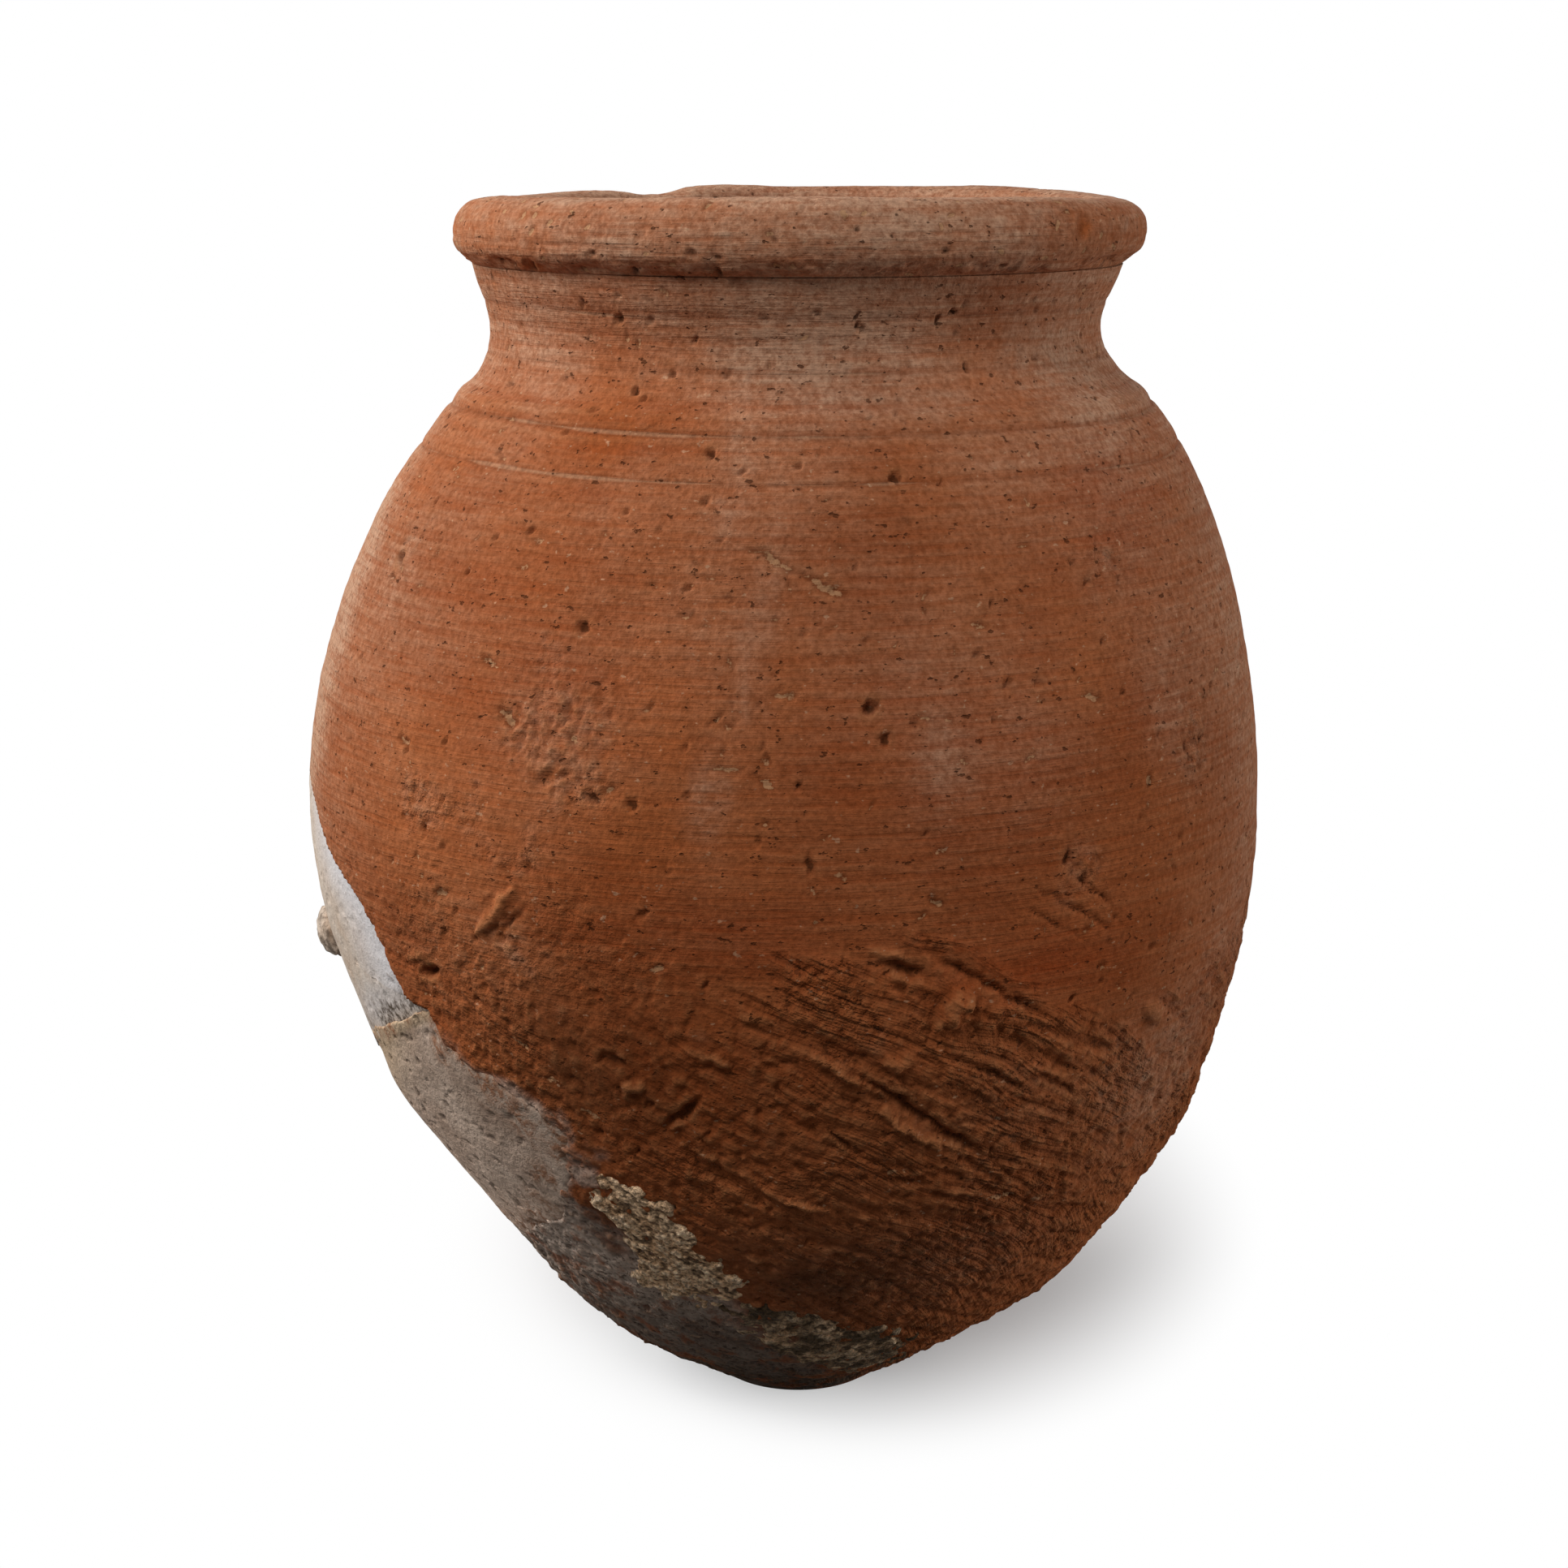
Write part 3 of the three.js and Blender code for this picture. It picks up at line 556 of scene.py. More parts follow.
# Scoring of the stick follows its strokes, in streaks about 20 mm long and 1.5 mm wide.
slanted_place = add(tree, "ShaderNodeMapping", {"Vector": stroke, "Scale": (0.05, 0.65, 1.0)})
scoring = add(tree, NOISE, {"Vector": slanted_place, "Scale": 1.0, "Detail": 2.0, "Roughness": 0.55})
scoring = add(tree, RANGE, [scoring, 0.38, 0.62])
rubble = add(tree, NOISE, {"Vector": place, "Scale": 1000 / 1.5, "Detail": 3.0, "Roughness": 0.6})
rubble = add(tree, RANGE, [rubble, 0.36, 0.64])

# Fired earth: two shades in patches, then dull mottling, redder places and pale streaks of the wheel.
firing = add(tree, RANGE, [patches, 0.36, 0.64])
colour = add(tree, MIX, [firing, linear("#944a24"), linear("#a95d33")], data_type="RGBA")
dulled = add(tree, MATH, [mottle, 0.35], operation="MULTIPLY")
streaks = add(tree, MATH, [wheel, turned], operation="MULTIPLY")
pale_streaks = add(tree, MATH, [streaks, 0.20], operation="MULTIPLY")
for share, code in [(dulled, "#7d3e1e"), (ruddy, "#93401a"), (pale_streaks, "#b87a4e")]:
    colour = add(tree, MIX, [share, colour, linear(code)], data_type="RGBA")

# Scraped clay: torn a little paler, with painted shade in the stick's furrows and between crumbs, and dust on
# it.
torn_colour = add(tree, MIX, [mottle, linear("#9c5932"), linear("#bb7c50")], data_type="RGBA")
torn_share = add(tree, MATH, [skinned, 0.16], operation="MULTIPLY")
colour = add(tree, MIX, [torn_share, colour, torn_colour], data_type="RGBA")
furrow_shade = add(tree, RANGE, [scoring, 0.30, 0.05, 0.0, 0.45])
furrow_shade = add(tree, MATH, [furrow_shade, combed], operation="MULTIPLY")
# Holes between the crumbs are the low places of the crumbs' bump, darkened as painted shade.
holes = add(tree, RANGE, [rubble, 0.20, 0.08, 0.0, 0.65])
holes = add(tree, MATH, [holes, coarse], operation="MULTIPLY")
settled = add(tree, NOISE, {"Vector": place, "Scale": 1000 / 2.0, "Detail": 4.0, "Roughness": 0.75})
settled = add(tree, RANGE, [settled, 0.36, 0.62, 0.65, 1.35])
combing = add(tree, RANGE, [wheel, 0.0, 1.0, 0.6, 1.4])
settled = add(tree, MATH, [settled, combing], operation="MULTIPLY")
settled = add(tree, MATH, [settled, dust], operation="MULTIPLY")
for share, code in [(furrow_shade, "#4f2814"), (holes, "#3f2010"), (settled, "#bb9074")]:
    colour = add(tree, MIX, [share, colour, linear(code)], data_type="RGBA")

# Lime film, pale higher up and dark at the foot with painted shade of the underside, let through by the
# mottling; then specks and darkened spots.
high = add(tree, "ShaderNodeSeparateXYZ", [place], out="Z")
# Painted shade of the underside: the film darkens towards the foot.
foot_shade_fade = add(tree, RANGE, [high, 10 * MM, 42 * MM])
lime = add(tree, MIX, [foot_shade_fade, linear("#584a3f"), linear("#dac3b1")], data_type="RGBA")
coat = add(tree, RANGE, [mottle, 0.85, 0.50, 0.25, 1.0])
coat = add(tree, MATH, [coat, film], operation="MULTIPLY")
colour = add(tree, MIX, [coat, colour, lime], data_type="RGBA")
# Dark specks on the film in the low places of the crumbs' bump, partly dirt and partly painted shade.
film_specks_dirt_and_shade = add(tree, RANGE, [rubble, 0.34, 0.14, 0.0, 0.65])
film_specks_dirt_and_shade = add(tree, MATH, [film_specks_dirt_and_shade, film], operation="MULTIPLY")
for share, code in [(film_specks_dirt_and_shade, "#4a3a30"), (darkened, "#3a2417")]:
    colour = add(tree, MIX, [share, colour, linear(code)], data_type="RGBA")

# Wheel lines: a thin pale scratch in the middle of each of the deeper ones, partly dust and partly painted
# highlight, with a darker edge of painted shade beside it.
SHALLOW_LINE = 0.1
high = add(tree, MATH, [drift, -MM, high], operation="MULTIPLY_ADD")
gap = 1.0
for level, depth in WHEEL_LINES:
    if depth < SHALLOW_LINE:
        continue
    off = add(tree, MATH, [high, level * MM], operation="SUBTRACT")
    off = add(tree, MATH, [off], operation="ABSOLUTE")
    gap = add(tree, MATH, [gap, off], operation="MINIMUM")
fade = add(tree, RANGE, [patches, 0.42, 0.56, 0.0, 0.6 * MM])
gap = add(tree, MATH, [gap, fade], operation="ADD")
# Darker edge of painted shade along each line, and in the middle a pale scratch, partly painted highlight.
edge = add(tree, RANGE, [gap, 0.5 * MM, 1.0 * MM, 0.20, 0.0])
edge = add(tree, MATH, [edge, turned], operation="MULTIPLY")
scratch = add(tree, RANGE, [gap, 0.15 * MM, 0.50 * MM, 0.36, 0.0])
scratch = add(tree, MATH, [scratch, turned], operation="MULTIPLY")
for share, code in [(edge, "#6e381d"), (scratch, "#c79d7b")]:
    colour = add(tree, MIX, [share, colour, linear(code)], data_type="RGBA")

# Pits, straw, pores and grains. Pits, gouges, grit holes and pores are darkened, partly dirt and partly
# painted shade in the hollows. Pits and straw are cut off sharply, after grit has roughened their edges.
rough_hollow_dirt_and_shade = add(tree, MATH, [grit, 1.5, hollow_dirt_and_shade], operation="MULTIPLY_ADD")
pit_dirt_and_shade = add(tree, RANGE, [rough_hollow_dirt_and_shade, 1.20, 1.55, 0.0, 0.75])
# Painted shade in the relief's crevices and painted highlight on its ridges.
shadows = add(tree, MATH, [crevice_shade, 0.28], operation="MULTIPLY")
ridge_highlights = add(tree, MATH, [proud_highlight, 0.28], operation="MULTIPLY")
rough_straw = add(tree, MATH, [grit, 1.4, straw], operation="MULTIPLY_ADD")
straw_edge = add(tree, RANGE, [rough_straw, 0.98, 1.15, 0.0, 0.30])
fibre = add(tree, RANGE, [rough_straw, 1.25, 1.45, 0.0, 0.70])
fleck_place = add(tree, "ShaderNodeMapping", {"Vector": place, "Scale": (0.6, 0.6, 1.0)})
flecks = add(tree, NOISE, {"Vector": fleck_place, "Scale": 1000 / 1.2, "Detail": 2.0, "Roughness": 0.6})
# Pores are dark specks sunk into the bump, partly dirt and partly painted shade of tiny pits.
pores = add(tree, RANGE, [flecks, 0.66, 0.72, 0.0, 0.75])
pale_specks = add(tree, RANGE, [flecks, 0.32, 0.26, 0.0, 0.45])
for share, code in [
    (pit_dirt_and_shade, "#3a2012"), (shadows, "#45230f"), (ridge_highlights, "#bd8658"), (straw_edge, "#5e3119"),
    (fibre, "#bd8f68"), (pores, "#4a2613"), (pale_specks, "#cfa684"),
]:
    colour = add(tree, MIX, [share, colour, linear(code)], data_type="RGBA")
# Tone follows the grit's bump: painted shade on its low grains and painted light on its high ones.
grain_light_and_shade = add(tree, RANGE, [grit, 0.30, 0.70, 0.78, 1.20])
colour = add(tree, MIX, [1.0, colour, grain_light_and_shade], data_type="RGBA", blend_type="MULTIPLY")

# Relief in millimetres: grit everywhere, wheel ridges, scoring of the stick, crumbs, pores and lines.
height = add(tree, MATH, [grit, 0.22], operation="MULTIPLY")
scored = add(tree, MATH, [scoring, combed], operation="MULTIPLY")
crumbs = add(tree, MATH, [rubble, coarse], operation="MULTIPLY")
for relief, tall in [(streaks, 0.12), (scored, 0.6), (crumbs, 0.38), (pores, -0.3), (scratch, -0.3)]:
    height = add(tree, MATH, [relief, tall, height], operation="MULTIPLY_ADD")
bumps = add(tree, "ShaderNodeBump", {"Strength": 1.0, "Distance": MM, "Height": height})
shader = add(tree, "ShaderNodeBsdfPrincipled", {
    "Base Color": colour, "Roughness": 0.95, "Specular IOR Level": 0.04, "Normal": bumps,
})
add(tree, "ShaderNodeOutputMaterial", {"Surface": shader})


def put_piece(name, node, material, shells):
    """Piece at the origin from closed grids in millimetres, standing for a node of the frame.

    Each shell is a grid of points, whether it ends in poles, its shares and its normals or None. A grid
    closes round its columns; up its rows it closes on itself, or to a point past each end row.
    """
    points, faces, normals, shares, first = [], [], [], {}, 0
    for grid, poles, painted, facing in shells:
        rows, columns = grid.shape[:2]
        row, column = np.arange(rows - poles)[:, None], np.arange(columns)[None]
        beside, above = (column + 1) % columns, (row + 1) % rows * columns
        corners = [row * columns + column, row * columns + beside, above + beside, above + column]
        faces += (first + np.stack(np.broadcast_arrays(*corners), -1).reshape(-1, 4)).tolist()
        low, high, last = first + rows * columns, first + rows * columns + 1, first + (rows - 1) * columns
        if poles:
            ring, beside = column[0], beside[0]
            faces += np.column_stack([0 * ring + low, first + beside, first + ring]).tolist()
            faces += np.column_stack([0 * ring + high, last + ring, last + beside]).tolist()

        def listed(values):
            """Values of a grid row by row, then the means of its end rows where these close to a point."""
            ends = [values[0].mean(0, keepdims=True), values[-1].mean(0, keepdims=True)] if poles else []
            return np.concatenate([values.reshape(-1, *values.shape[2:]), *ends])

        points.append(listed(grid))
        if facing is not None:
            normals.append(listed(facing))
        for label, values in painted.items():
            shares.setdefault(label, []).append(listed(values))
        first += rows * columns + 2 * poles
    mesh = bpy.data.meshes.new(name)
    mesh.from_pydata(np.concatenate(points) * MM, [], faces)
    mesh.polygons.foreach_set("use_smooth", np.ones(len(mesh.polygons), bool))
    for label, values in shares.items():
        values = np.concatenate(values).astype(np.float32)
        kind, field = ("FLOAT_VECTOR", "vector") if values.ndim == 2 else ("FLOAT", "value")
        mesh.attributes.new(label, kind, "POINT").data.foreach_set(field, values.ravel())
    if normals:
        mesh.normals_split_custom_set_from_vertices(np.concatenate(normals))
    mesh.materials.append(material)
    piece = bpy.data.objects.new(name, mesh)
    bpy.context.scene.collection.objects.link(piece)
    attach(piece, "root")
    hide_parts(node)


def facing_of(points):
    """Unit normals of a grid closed round its columns: its change sideways crossed with that up its rows."""
    normal = np.cross(np.roll(points, -1, axis=1) - np.roll(points, 1, axis=1), np.gradient(points, axis=0))
    return normal / np.maximum(np.linalg.norm(normal, axis=-1, keepdims=True), 1e-9)


# Columns stand closer together over the front and the break than round the back. Rows of the outer face
# lie a grid's step apart along its slant.
COLUMNS = 880
GRID = 0.62
fine_turn = np.linspace(-math.pi, math.pi, FINE_STEPS)
crowding = np.cumsum(1 + 1.1 * step(-2.4, -1.9, fine_turn) * step(1.7, 1.2, fine_turn))
crowding = (crowding - crowding[0]) / (crowding[-1] - crowding[0])
around = np.interp(np.linspace(0, 1, COLUMNS, endpoint=False), crowding, fine_turn)

# The whole outer face as one grid, cut into bands at the joints, so that neighbours meet exactly.
band_edges = [0, BASE_JOINT, LOWER_JOINT, BELLY_JOINT, NECK_ROOT, NECK_TOP]
levels, cuts = [np.zeros(1)], [0]
for low, high in zip(band_edges[:-1], band_edges[1:]):
    count = int((wall_run(high) - wall_run(low)) / GRID)
    runs = np.linspace(wall_run(low), wall_run(high), count + 1)[1:]
    levels.append(np.interp(runs, fine_run, fine_heights))
    cuts.append(cuts[-1] + count)
levels = np.concatenate(levels)
clay_detail, clay_shares = worked_clay(around, levels)
clay_raised = hand_level(around, levels[:, None]) + clay_detail
clay_raised = clay_raised - BREAK_DEPTH * lost_wall(around, levels[:, None])
outer_face = on_wall(around, levels[:, None], clay_raised)
outer_face[..., 2] = np.maximum(outer_face[..., 2], 0)
outer_facing = facing_of(outer_face)


def inner_wall(high, low, count):
    """Inner face of the wall from high down to low, a wall's thickness in, let out behind the break."""
    height = np.linspace(high, low, count)[:, None]
    uneven = 0.5 * clay_noise(around, height, 24, 61, 2)
    return on_wall(around, height, uneven - WALL + BREAK_LET_OUT * lost_wall(around, height))


def put_band(number, node, inside, under=None):
    """One band of the wall: its part of the outer face, closed by the rows inside it and under it.

    Rows under it take the shares of the outer face's lowest row, and rows inside it have none.
    """
    part = slice(cuts[number], cuts[number + 1] + 1)
    grids, facings = [outer_face[part], inside], [outer_facing[part], facing_of(inside)]
    under_rows = 0
    if under is not None:
        under_rows = len(under)
        grids.insert(0, under)
        facings.insert(0, facing_of(under))
    painted = {}
    for label, values in clay_shares.items():
        below = np.repeat(values[part][:1], under_rows, axis=0)
        hidden = np.zeros((len(inside), *values.shape[1:]))
        painted[label] = np.concatenate([below, values[part], hidden])
    shell = (np.concatenate(grids), under is not None, painted, np.concatenate(facings))
    put_piece("clay_" + node, node, terracotta, [shell])


def ring_at(radius, height):
    """Level ring of points about the leaning axis."""
    x = wall_lean(height) + radius * np.sin(around)
    return np.stack([x, -radius * np.cos(around), 0 * around + height], -1)


# The base's inside is a cup with a nearly level floor, and its underside is the flat that the jar rests on.
CUP_HEIGHT, CUP_DISH = 17, 0.3
CUP_RADII = (22, 15, 8, 2)
FLAT_RADII = (2, 7, 12, 16)
BASE_ROWS, INSIDE_ROWS, NECK_ROWS = 14, 8, 6
cup_floor = np.stack([
    ring_at(radius, FOOT_THICKNESS + CUP_DISH * (radius / CUP_RADII[0]) ** 2) for radius in CUP_RADII
])
put_band(
    0, "base",
    np.concatenate([inner_wall(BASE_JOINT + JOINT_BEVEL, CUP_HEIGHT, BASE_ROWS), cup_floor]),
    under=np.stack([ring_at(radius, 0) for radius in FLAT_RADII]),
)
for number, node, slot in [
    (1, "lower_wall", "terracotta_scraped"), (2, "belly_wall", "terracotta"), (3, "shoulder", "terracotta"),
]:
    low, high = band_edges[number] + JOINT_BEVEL, band_edges[number + 1] + JOINT_BEVEL
    put_band(number, node, inner_wall(high, low, INSIDE_ROWS))
lip = np.stack([
    ring_at(LIP_RADIUS, NECK_TOP), ring_at(LIP_RADIUS, LIP_HEIGHT), ring_at(MOUTH_RADIUS, LIP_HEIGHT),
])
throat = inner_wall(THROAT, NECK_ROOT + JOINT_BEVEL, NECK_ROWS)
put_band(4, "neck", np.concatenate([lip, throat]))


# Rolled rim
# The lip of wet clay folded outwards and down over the neck's edge, pressed on with the thumb and
# wiped level on the wheel, with a sloped underside and a ragged edge where it was not quite luted down.
RIM_ROWS = 88
rim_face = np.array([
    (62.2, 227.55), (63.1, 228.1), (64.3, 229.0), (65.5, 230.1), (66.2, 231.3),
    (66.5, 233.1), (66.3, 235.7), (65.2, 238.3), (63.2, 240.0), (61.3, 240.5),
    (58.8, 240.6), (56.8, 240.4), (54.9, 239.6), (54.0, 238.2), (53.8, 236.1),
])
rim_steps = np.concatenate([[0], np.cumsum(np.hypot(*np.diff(rim_face, axis=0).T))])
rim_radius = smooth_curve(np.column_stack([rim_steps, rim_face[:, 0]]))
rim_height = smooth_curve(np.column_stack([rim_steps, rim_face[:, 1]]))

# Rise or dip of the rim's top by azimuth, and the pits of the rim, with the length up its face for height.
rim_level = smooth_curve([
    (-180, -0.2), (-157, -0.4), (-152, -1.6), (-146, -1.8), (-141, -1.1), (-110, -1.2), (-90, -0.8),
    (-45, 0), (0, 0.3), (45, 0.1), (66, -0.6), (90, -1.0), (112, -0.6), (135, 0), (180, -0.2),
])
CHIP_AZIMUTH, CHIP_RUN = 49, 9.6
RIM_PITS = [
    (-16.3, 5.6, 3.4, 2.2, -20, 0.6), (-12.4, 5.2, 2.2, 1.9, 30, 0.5), (-33, 5.4, 1.8, 1.6, 40, 0.5),
    (22, 6.5, 1.6, 1.5, 0, 0.5), (-48, 1.6, 3.6, 1.6, 85, 0.9), (-26.8, 1.5, 3.2, 1.6, 80, 0.9),
    (-12.6, 1.4, 3.6, 1.8, 95, 1.1), (33, 2.8, 2.0, 1.6, 10, 0.6), (8, 10.2, 1.7, 1.5, 0, 0.5),
    (-4, 8.2, 1.8, 1.5, -60, 0.5), (48, 9, 2.4, 2.0, 40, 0.6), (CHIP_AZIMUTH, CHIP_RUN, 6.4, 4.6, 60, 0.6),
]
RIM_FLECKS = 150


def rim_points(theta, along):
    """Rim's face: the rolled profile carried round the mouth, raised by handling marks, with its shares."""
    near = 0.1
    radius, height = rim_radius(along), rim_height(along)
    flank = (rim_radius(along + near) - rim_radius(along - near)) / (2 * near)
    climb = (rim_height(along + near) - rim_height(along - near)) / (2 * near)
    r, z, run = radius[:, None], height[:, None], along[:, None]
    degrees = np.degrees(theta)
    warp = [0.4 * clay_noise(theta, z, 2.8, seed, 2, r) for seed in (121, 125)]

    # Unevenness of the fold, crumbly and pocked clay, and ridges of the wheel with one broken line.
    uneven = 0.25 * clay_noise(theta, z, 34, 103, 1, r) + 0.18 * clay_noise(theta, z, 13, 104, 1, r)
    crumbly = clay_noise(theta, z, 2.4, 105, 2, r)
    pocks = step(0.35, 0.85, clay_noise(theta, z, 3.0, 107, 2, r))
    wheel = 0.06 * grain(run / 1.6, 0.7 * np.cos(theta), 0.7 * np.sin(theta), 109)
    broken = step(-0.1, 0.3, clay_noise(theta, 0 * z, 40, 111, 1, r))
    wheel = wheel - 0.15 * np.exp(-((run - 7.0) / 0.5) ** 2) * broken

    # Pits, flecks of straw and the torn lower edge. The relief fades out towards the mouth and the neck.
    grains = np.column_stack([
        scatter.uniform(-180, 180, RIM_FLECKS), scatter.uniform(1, 20, RIM_FLECKS),
        scatter.uniform(1.6, 3.4, RIM_FLECKS), np.full(RIM_FLECKS, 1.5),
        40 * scatter.normal(size=RIM_FLECKS), scatter.uniform(0.1, 0.3, RIM_FLECKS),
    ])
    pits, pit = marked(theta, along, radius, RIM_PITS, warp)
    flecks, fleck = marked(theta, along, radius, grains, warp)
    ragged = 0.55 * clay_noise(theta, 0 * z, 9, 113, 3, r) - 0.3 * pocks
    torn = step(4.6, 2.4, run) * step(0.6, 1.8, run) * ragged
    detail = wheel + 0.08 * crumbly - 0.16 * pocks - np.maximum(pits, flecks)
    edges = detail - levelled(detail)
    raised = (uneven + detail + torn) * step(21.5, 18.5, run) * step(0, 1.4, run)

    # The profile moved out square to itself, with the rise or dip of its top.
    x = wall_lean(z) + (r + raised * climb[:, None]) * np.sin(theta)
    y = -(r + raised * climb[:, None]) * np.cos(theta)
    level = rim_level(degrees) * step(233, 240, z)
    points = np.stack(np.broadcast_arrays(x, y, z + level - raised * flank[:, None]), -1)

    # Dust, thickest over the front and from the top inwards, and knocked off at the fresh chip.
    veil = clay_noise(theta, z, 22, 115, 3, r)
    side = step(-50, -20, degrees) * step(55, 25, degrees)
    dust = (0.34 + 0.24 * side) * (1 + 0.5 * veil) + 0.12 * crumbly
    fresh = np.exp(-((degrees - CHIP_AZIMUTH) / 4) ** 2 - ((run - CHIP_RUN) / 2.6) ** 2)
    dust = dust + 0.3 * step(13, 17, run) - 0.22 * fresh
    none = np.zeros(detail.shape)
    shares = dict.fromkeys(("skinned", "coarse", "combed", "film", "darkened", "ruddy", "drift"), none)
    shares |= {
        "turned": none + 1,
        # Painted shade in crevices and painted highlight on proud places of the rim's relief.
        "crevice_shade": np.clip(-edges / EDGE_RELIEF, 0, 1),
        "proud_highlight": np.clip(edges / EDGE_RELIEF, 0, 1),
        # Pits and the pocks of the lower edge are darkened, partly dirt and partly painted shade.
        "hollow_dirt_and_shade": np.maximum(0.75 * pit * (1 - fresh), 0.5 * pocks * step(4.4, 2.2, run)),
        "straw": fleck,
        "dust": np.clip(dust, 0, 1),
        "stroke": np.zeros((*detail.shape, 3)),
    }
    return points, shares


# Hidden side of the fold round the neck's lip, as radius and height.
RIM_FOLD = [(56.8, 236.0), (59.7, 236.0), (59.7, 232.0), (60.4, 227.7)]
rim_along = np.linspace(0, rim_steps[-1], RIM_ROWS)
rim_outer, rim_shares = rim_points(around, rim_along)
rim_grid = np.concatenate([rim_outer, np.stack([ring_at(r, z) for r, z in RIM_FOLD])])
for label, values in rim_shares.items():
    rim_shares[label] = np.concatenate([values, np.zeros((len(RIM_FOLD), *values.shape[1:]))])
put_piece("clay_rim_roll", "rim_roll", terracotta, [(rim_grid, 0, rim_shares, None)])


# Upper plaster fill
# Pale gypsum plaster pressed into the upper part of the break and trowelled, a little below the wall's
# face towards the front, whitest at the clay's edge there and speckled with grime near the second batch.
UPPER_RECESS = 1.2
FILL_THICKNESS = 1.7
FILL_COLUMNS, FILL_RINGS = 480, 90
BACK_STEP = 8


def outline_grid(corners, azimuth, columns, rings, grow, seed):
    """Azimuth, height and share of a grid over an outline, from rings at its middle (0) to its edge (1).

    Each ring is the outline drawn in towards its middle. Its edge is first grown by the two amounts in
    grow, the first evenly and the second raggedly, in millimetres.
    """
    closed = np.array([*corners, corners[0]], float)
    run = np.concatenate([[0], np.cumsum(np.hypot(*np.diff(closed, axis=0).T))])
    at = np.linspace(0, run[-1], columns, endpoint=False)
    edge = np.column_stack([np.interp(at, run, closed[:, k]) for k in (0, 1)])
    middle = edge.mean(0)
    reach = np.linalg.norm(edge - middle, axis=1, keepdims=True)
    across, upright = edge[:, :1], edge[:, 1:]
    ragged = grain(across / 5, upright / 5, 0 * reach, seed)
    ragged = ragged + 0.6 * grain(across / 2.2, upright / 2.2, 0 * reach, seed + 1)
    edge = middle + (edge - middle) * (1 + grow[0] / reach + grow[1] * ragged / reach)
    share = np.linspace(1 / rings, 1, rings)[:, None]
    sideways = middle[0] + share * (edge[:, 0] - middle[0])
    height = middle[1] + share * (edge[:, 1] - middle[1])
    theta = azimuth + np.arcsin(np.clip(sideways / wall_radius(height), -0.99, 0.99))
    return theta, height, share + 0 * theta


def sheet_shell(theta, height, top, bottom, shares):
    """Closed sheet over a ring grid: its back from the middle to the edge, then its face back again.

    The hidden back has only one ring in every few.
    """
    back = slice(None, None, BACK_STEP)
    points = np.concatenate([on_wall(theta, height, bottom)[back], on_wall(theta, height, top)[::-1]])
    painted = {label: np.concatenate([0 * v[back], v[::-1]]) for label, v in shares.items()}
    return points, 1, painted, None


upper_outline = FILL_JOINT + UPPER_BREAK
theta, height, share = outline_grid(upper_outline, BREAK_AZIMUTH, FILL_COLUMNS, FILL_RINGS, (1.2, 0.2), 201)
sideways = wall_radius(height) * np.sin(theta - BREAK_AZIMUTH)
plaster = hand_level(theta, height) - UPPER_RECESS * step(-10, 35, sideways)
plaster = plaster + 0.25 * clay_noise(theta, height, 16, 205) + 0.08 * clay_noise(theta, height, 4, 206, 3)
plaster = plaster - 0.25 * step(0.5, 0.9, clay_noise(theta, height, 2.2, 208, 2))
joint_level = np.interp(sideways, *np.array(FILL_JOINT).T)
grime = step(9, 1, height - joint_level) * (0.7 + 0.6 * clay_noise(theta, height, 6, 209, 2))

# Gypsum plaster, trowelled and set: chalky and matt, clouded buff, and nearly white along the clay's edge.
gypsum = bpy.data.materials.new("gypsum_plaster")
tree = bare_tree(gypsum)
place = add(tree, "ShaderNodeTexCoord", out="Object")
edge = add(tree, SHARE, out="Fac", attribute_name="edge")
grimy = add(tree, SHARE, out="Fac", attribute_name="grime")
cloud = add(tree, NOISE, {"Vector": place, "Scale": 1000 / 14, "Detail": 5.0, "Roughness": 0.6})
cloud = add(tree, RANGE, [cloud, 0.38, 0.62])
speckle = add(tree, NOISE, {"Vector": place, "Scale": 1000 / 1.6, "Detail": 3.0, "Roughness": 0.7})
dark = add(tree, RANGE, [speckle, 0.56, 0.70, 0.0, 0.55])
stain = add(tree, RANGE, [speckle, 0.40, 0.58])
stain = add(tree, MATH, [stain, grimy], operation="MULTIPLY")
colour = add(tree, MIX, [cloud, linear("#c8b09a"), linear("#d6c6b6")], data_type="RGBA")
for coat, code in [(edge, "#ddd8d8"), (dark, "#8a7562"), (stain, "#54463a")]:
    colour = add(tree, MIX, [coat, colour, linear(code)], data_type="RGBA")
bumps = add(tree, "ShaderNodeBump", {"Strength": 0.8, "Distance": 0.4 * MM, "Height": speckle})
shader = add(tree, "ShaderNodeBsdfPrincipled", {
    "Base Color": colour, "Roughness": 0.9, "Specular IOR Level": 0.15, "Normal": bumps,
})
add(tree, "ShaderNodeOutputMaterial", {"Surface": shader})
whitened = step(0.55, 0.98, share) * step(-5, 25, sideways) * step(-2, 8, height - joint_level)
shares = {"edge": np.clip(whitened, 0, 1), "grime": np.clip(grime, 0, 1)}
put_piece("plaster_fill_upper_cast", "plaster_fill_upper", gypsum, [
    sheet_shell(theta, height, plaster, plaster - FILL_THICKNESS, shares),
])


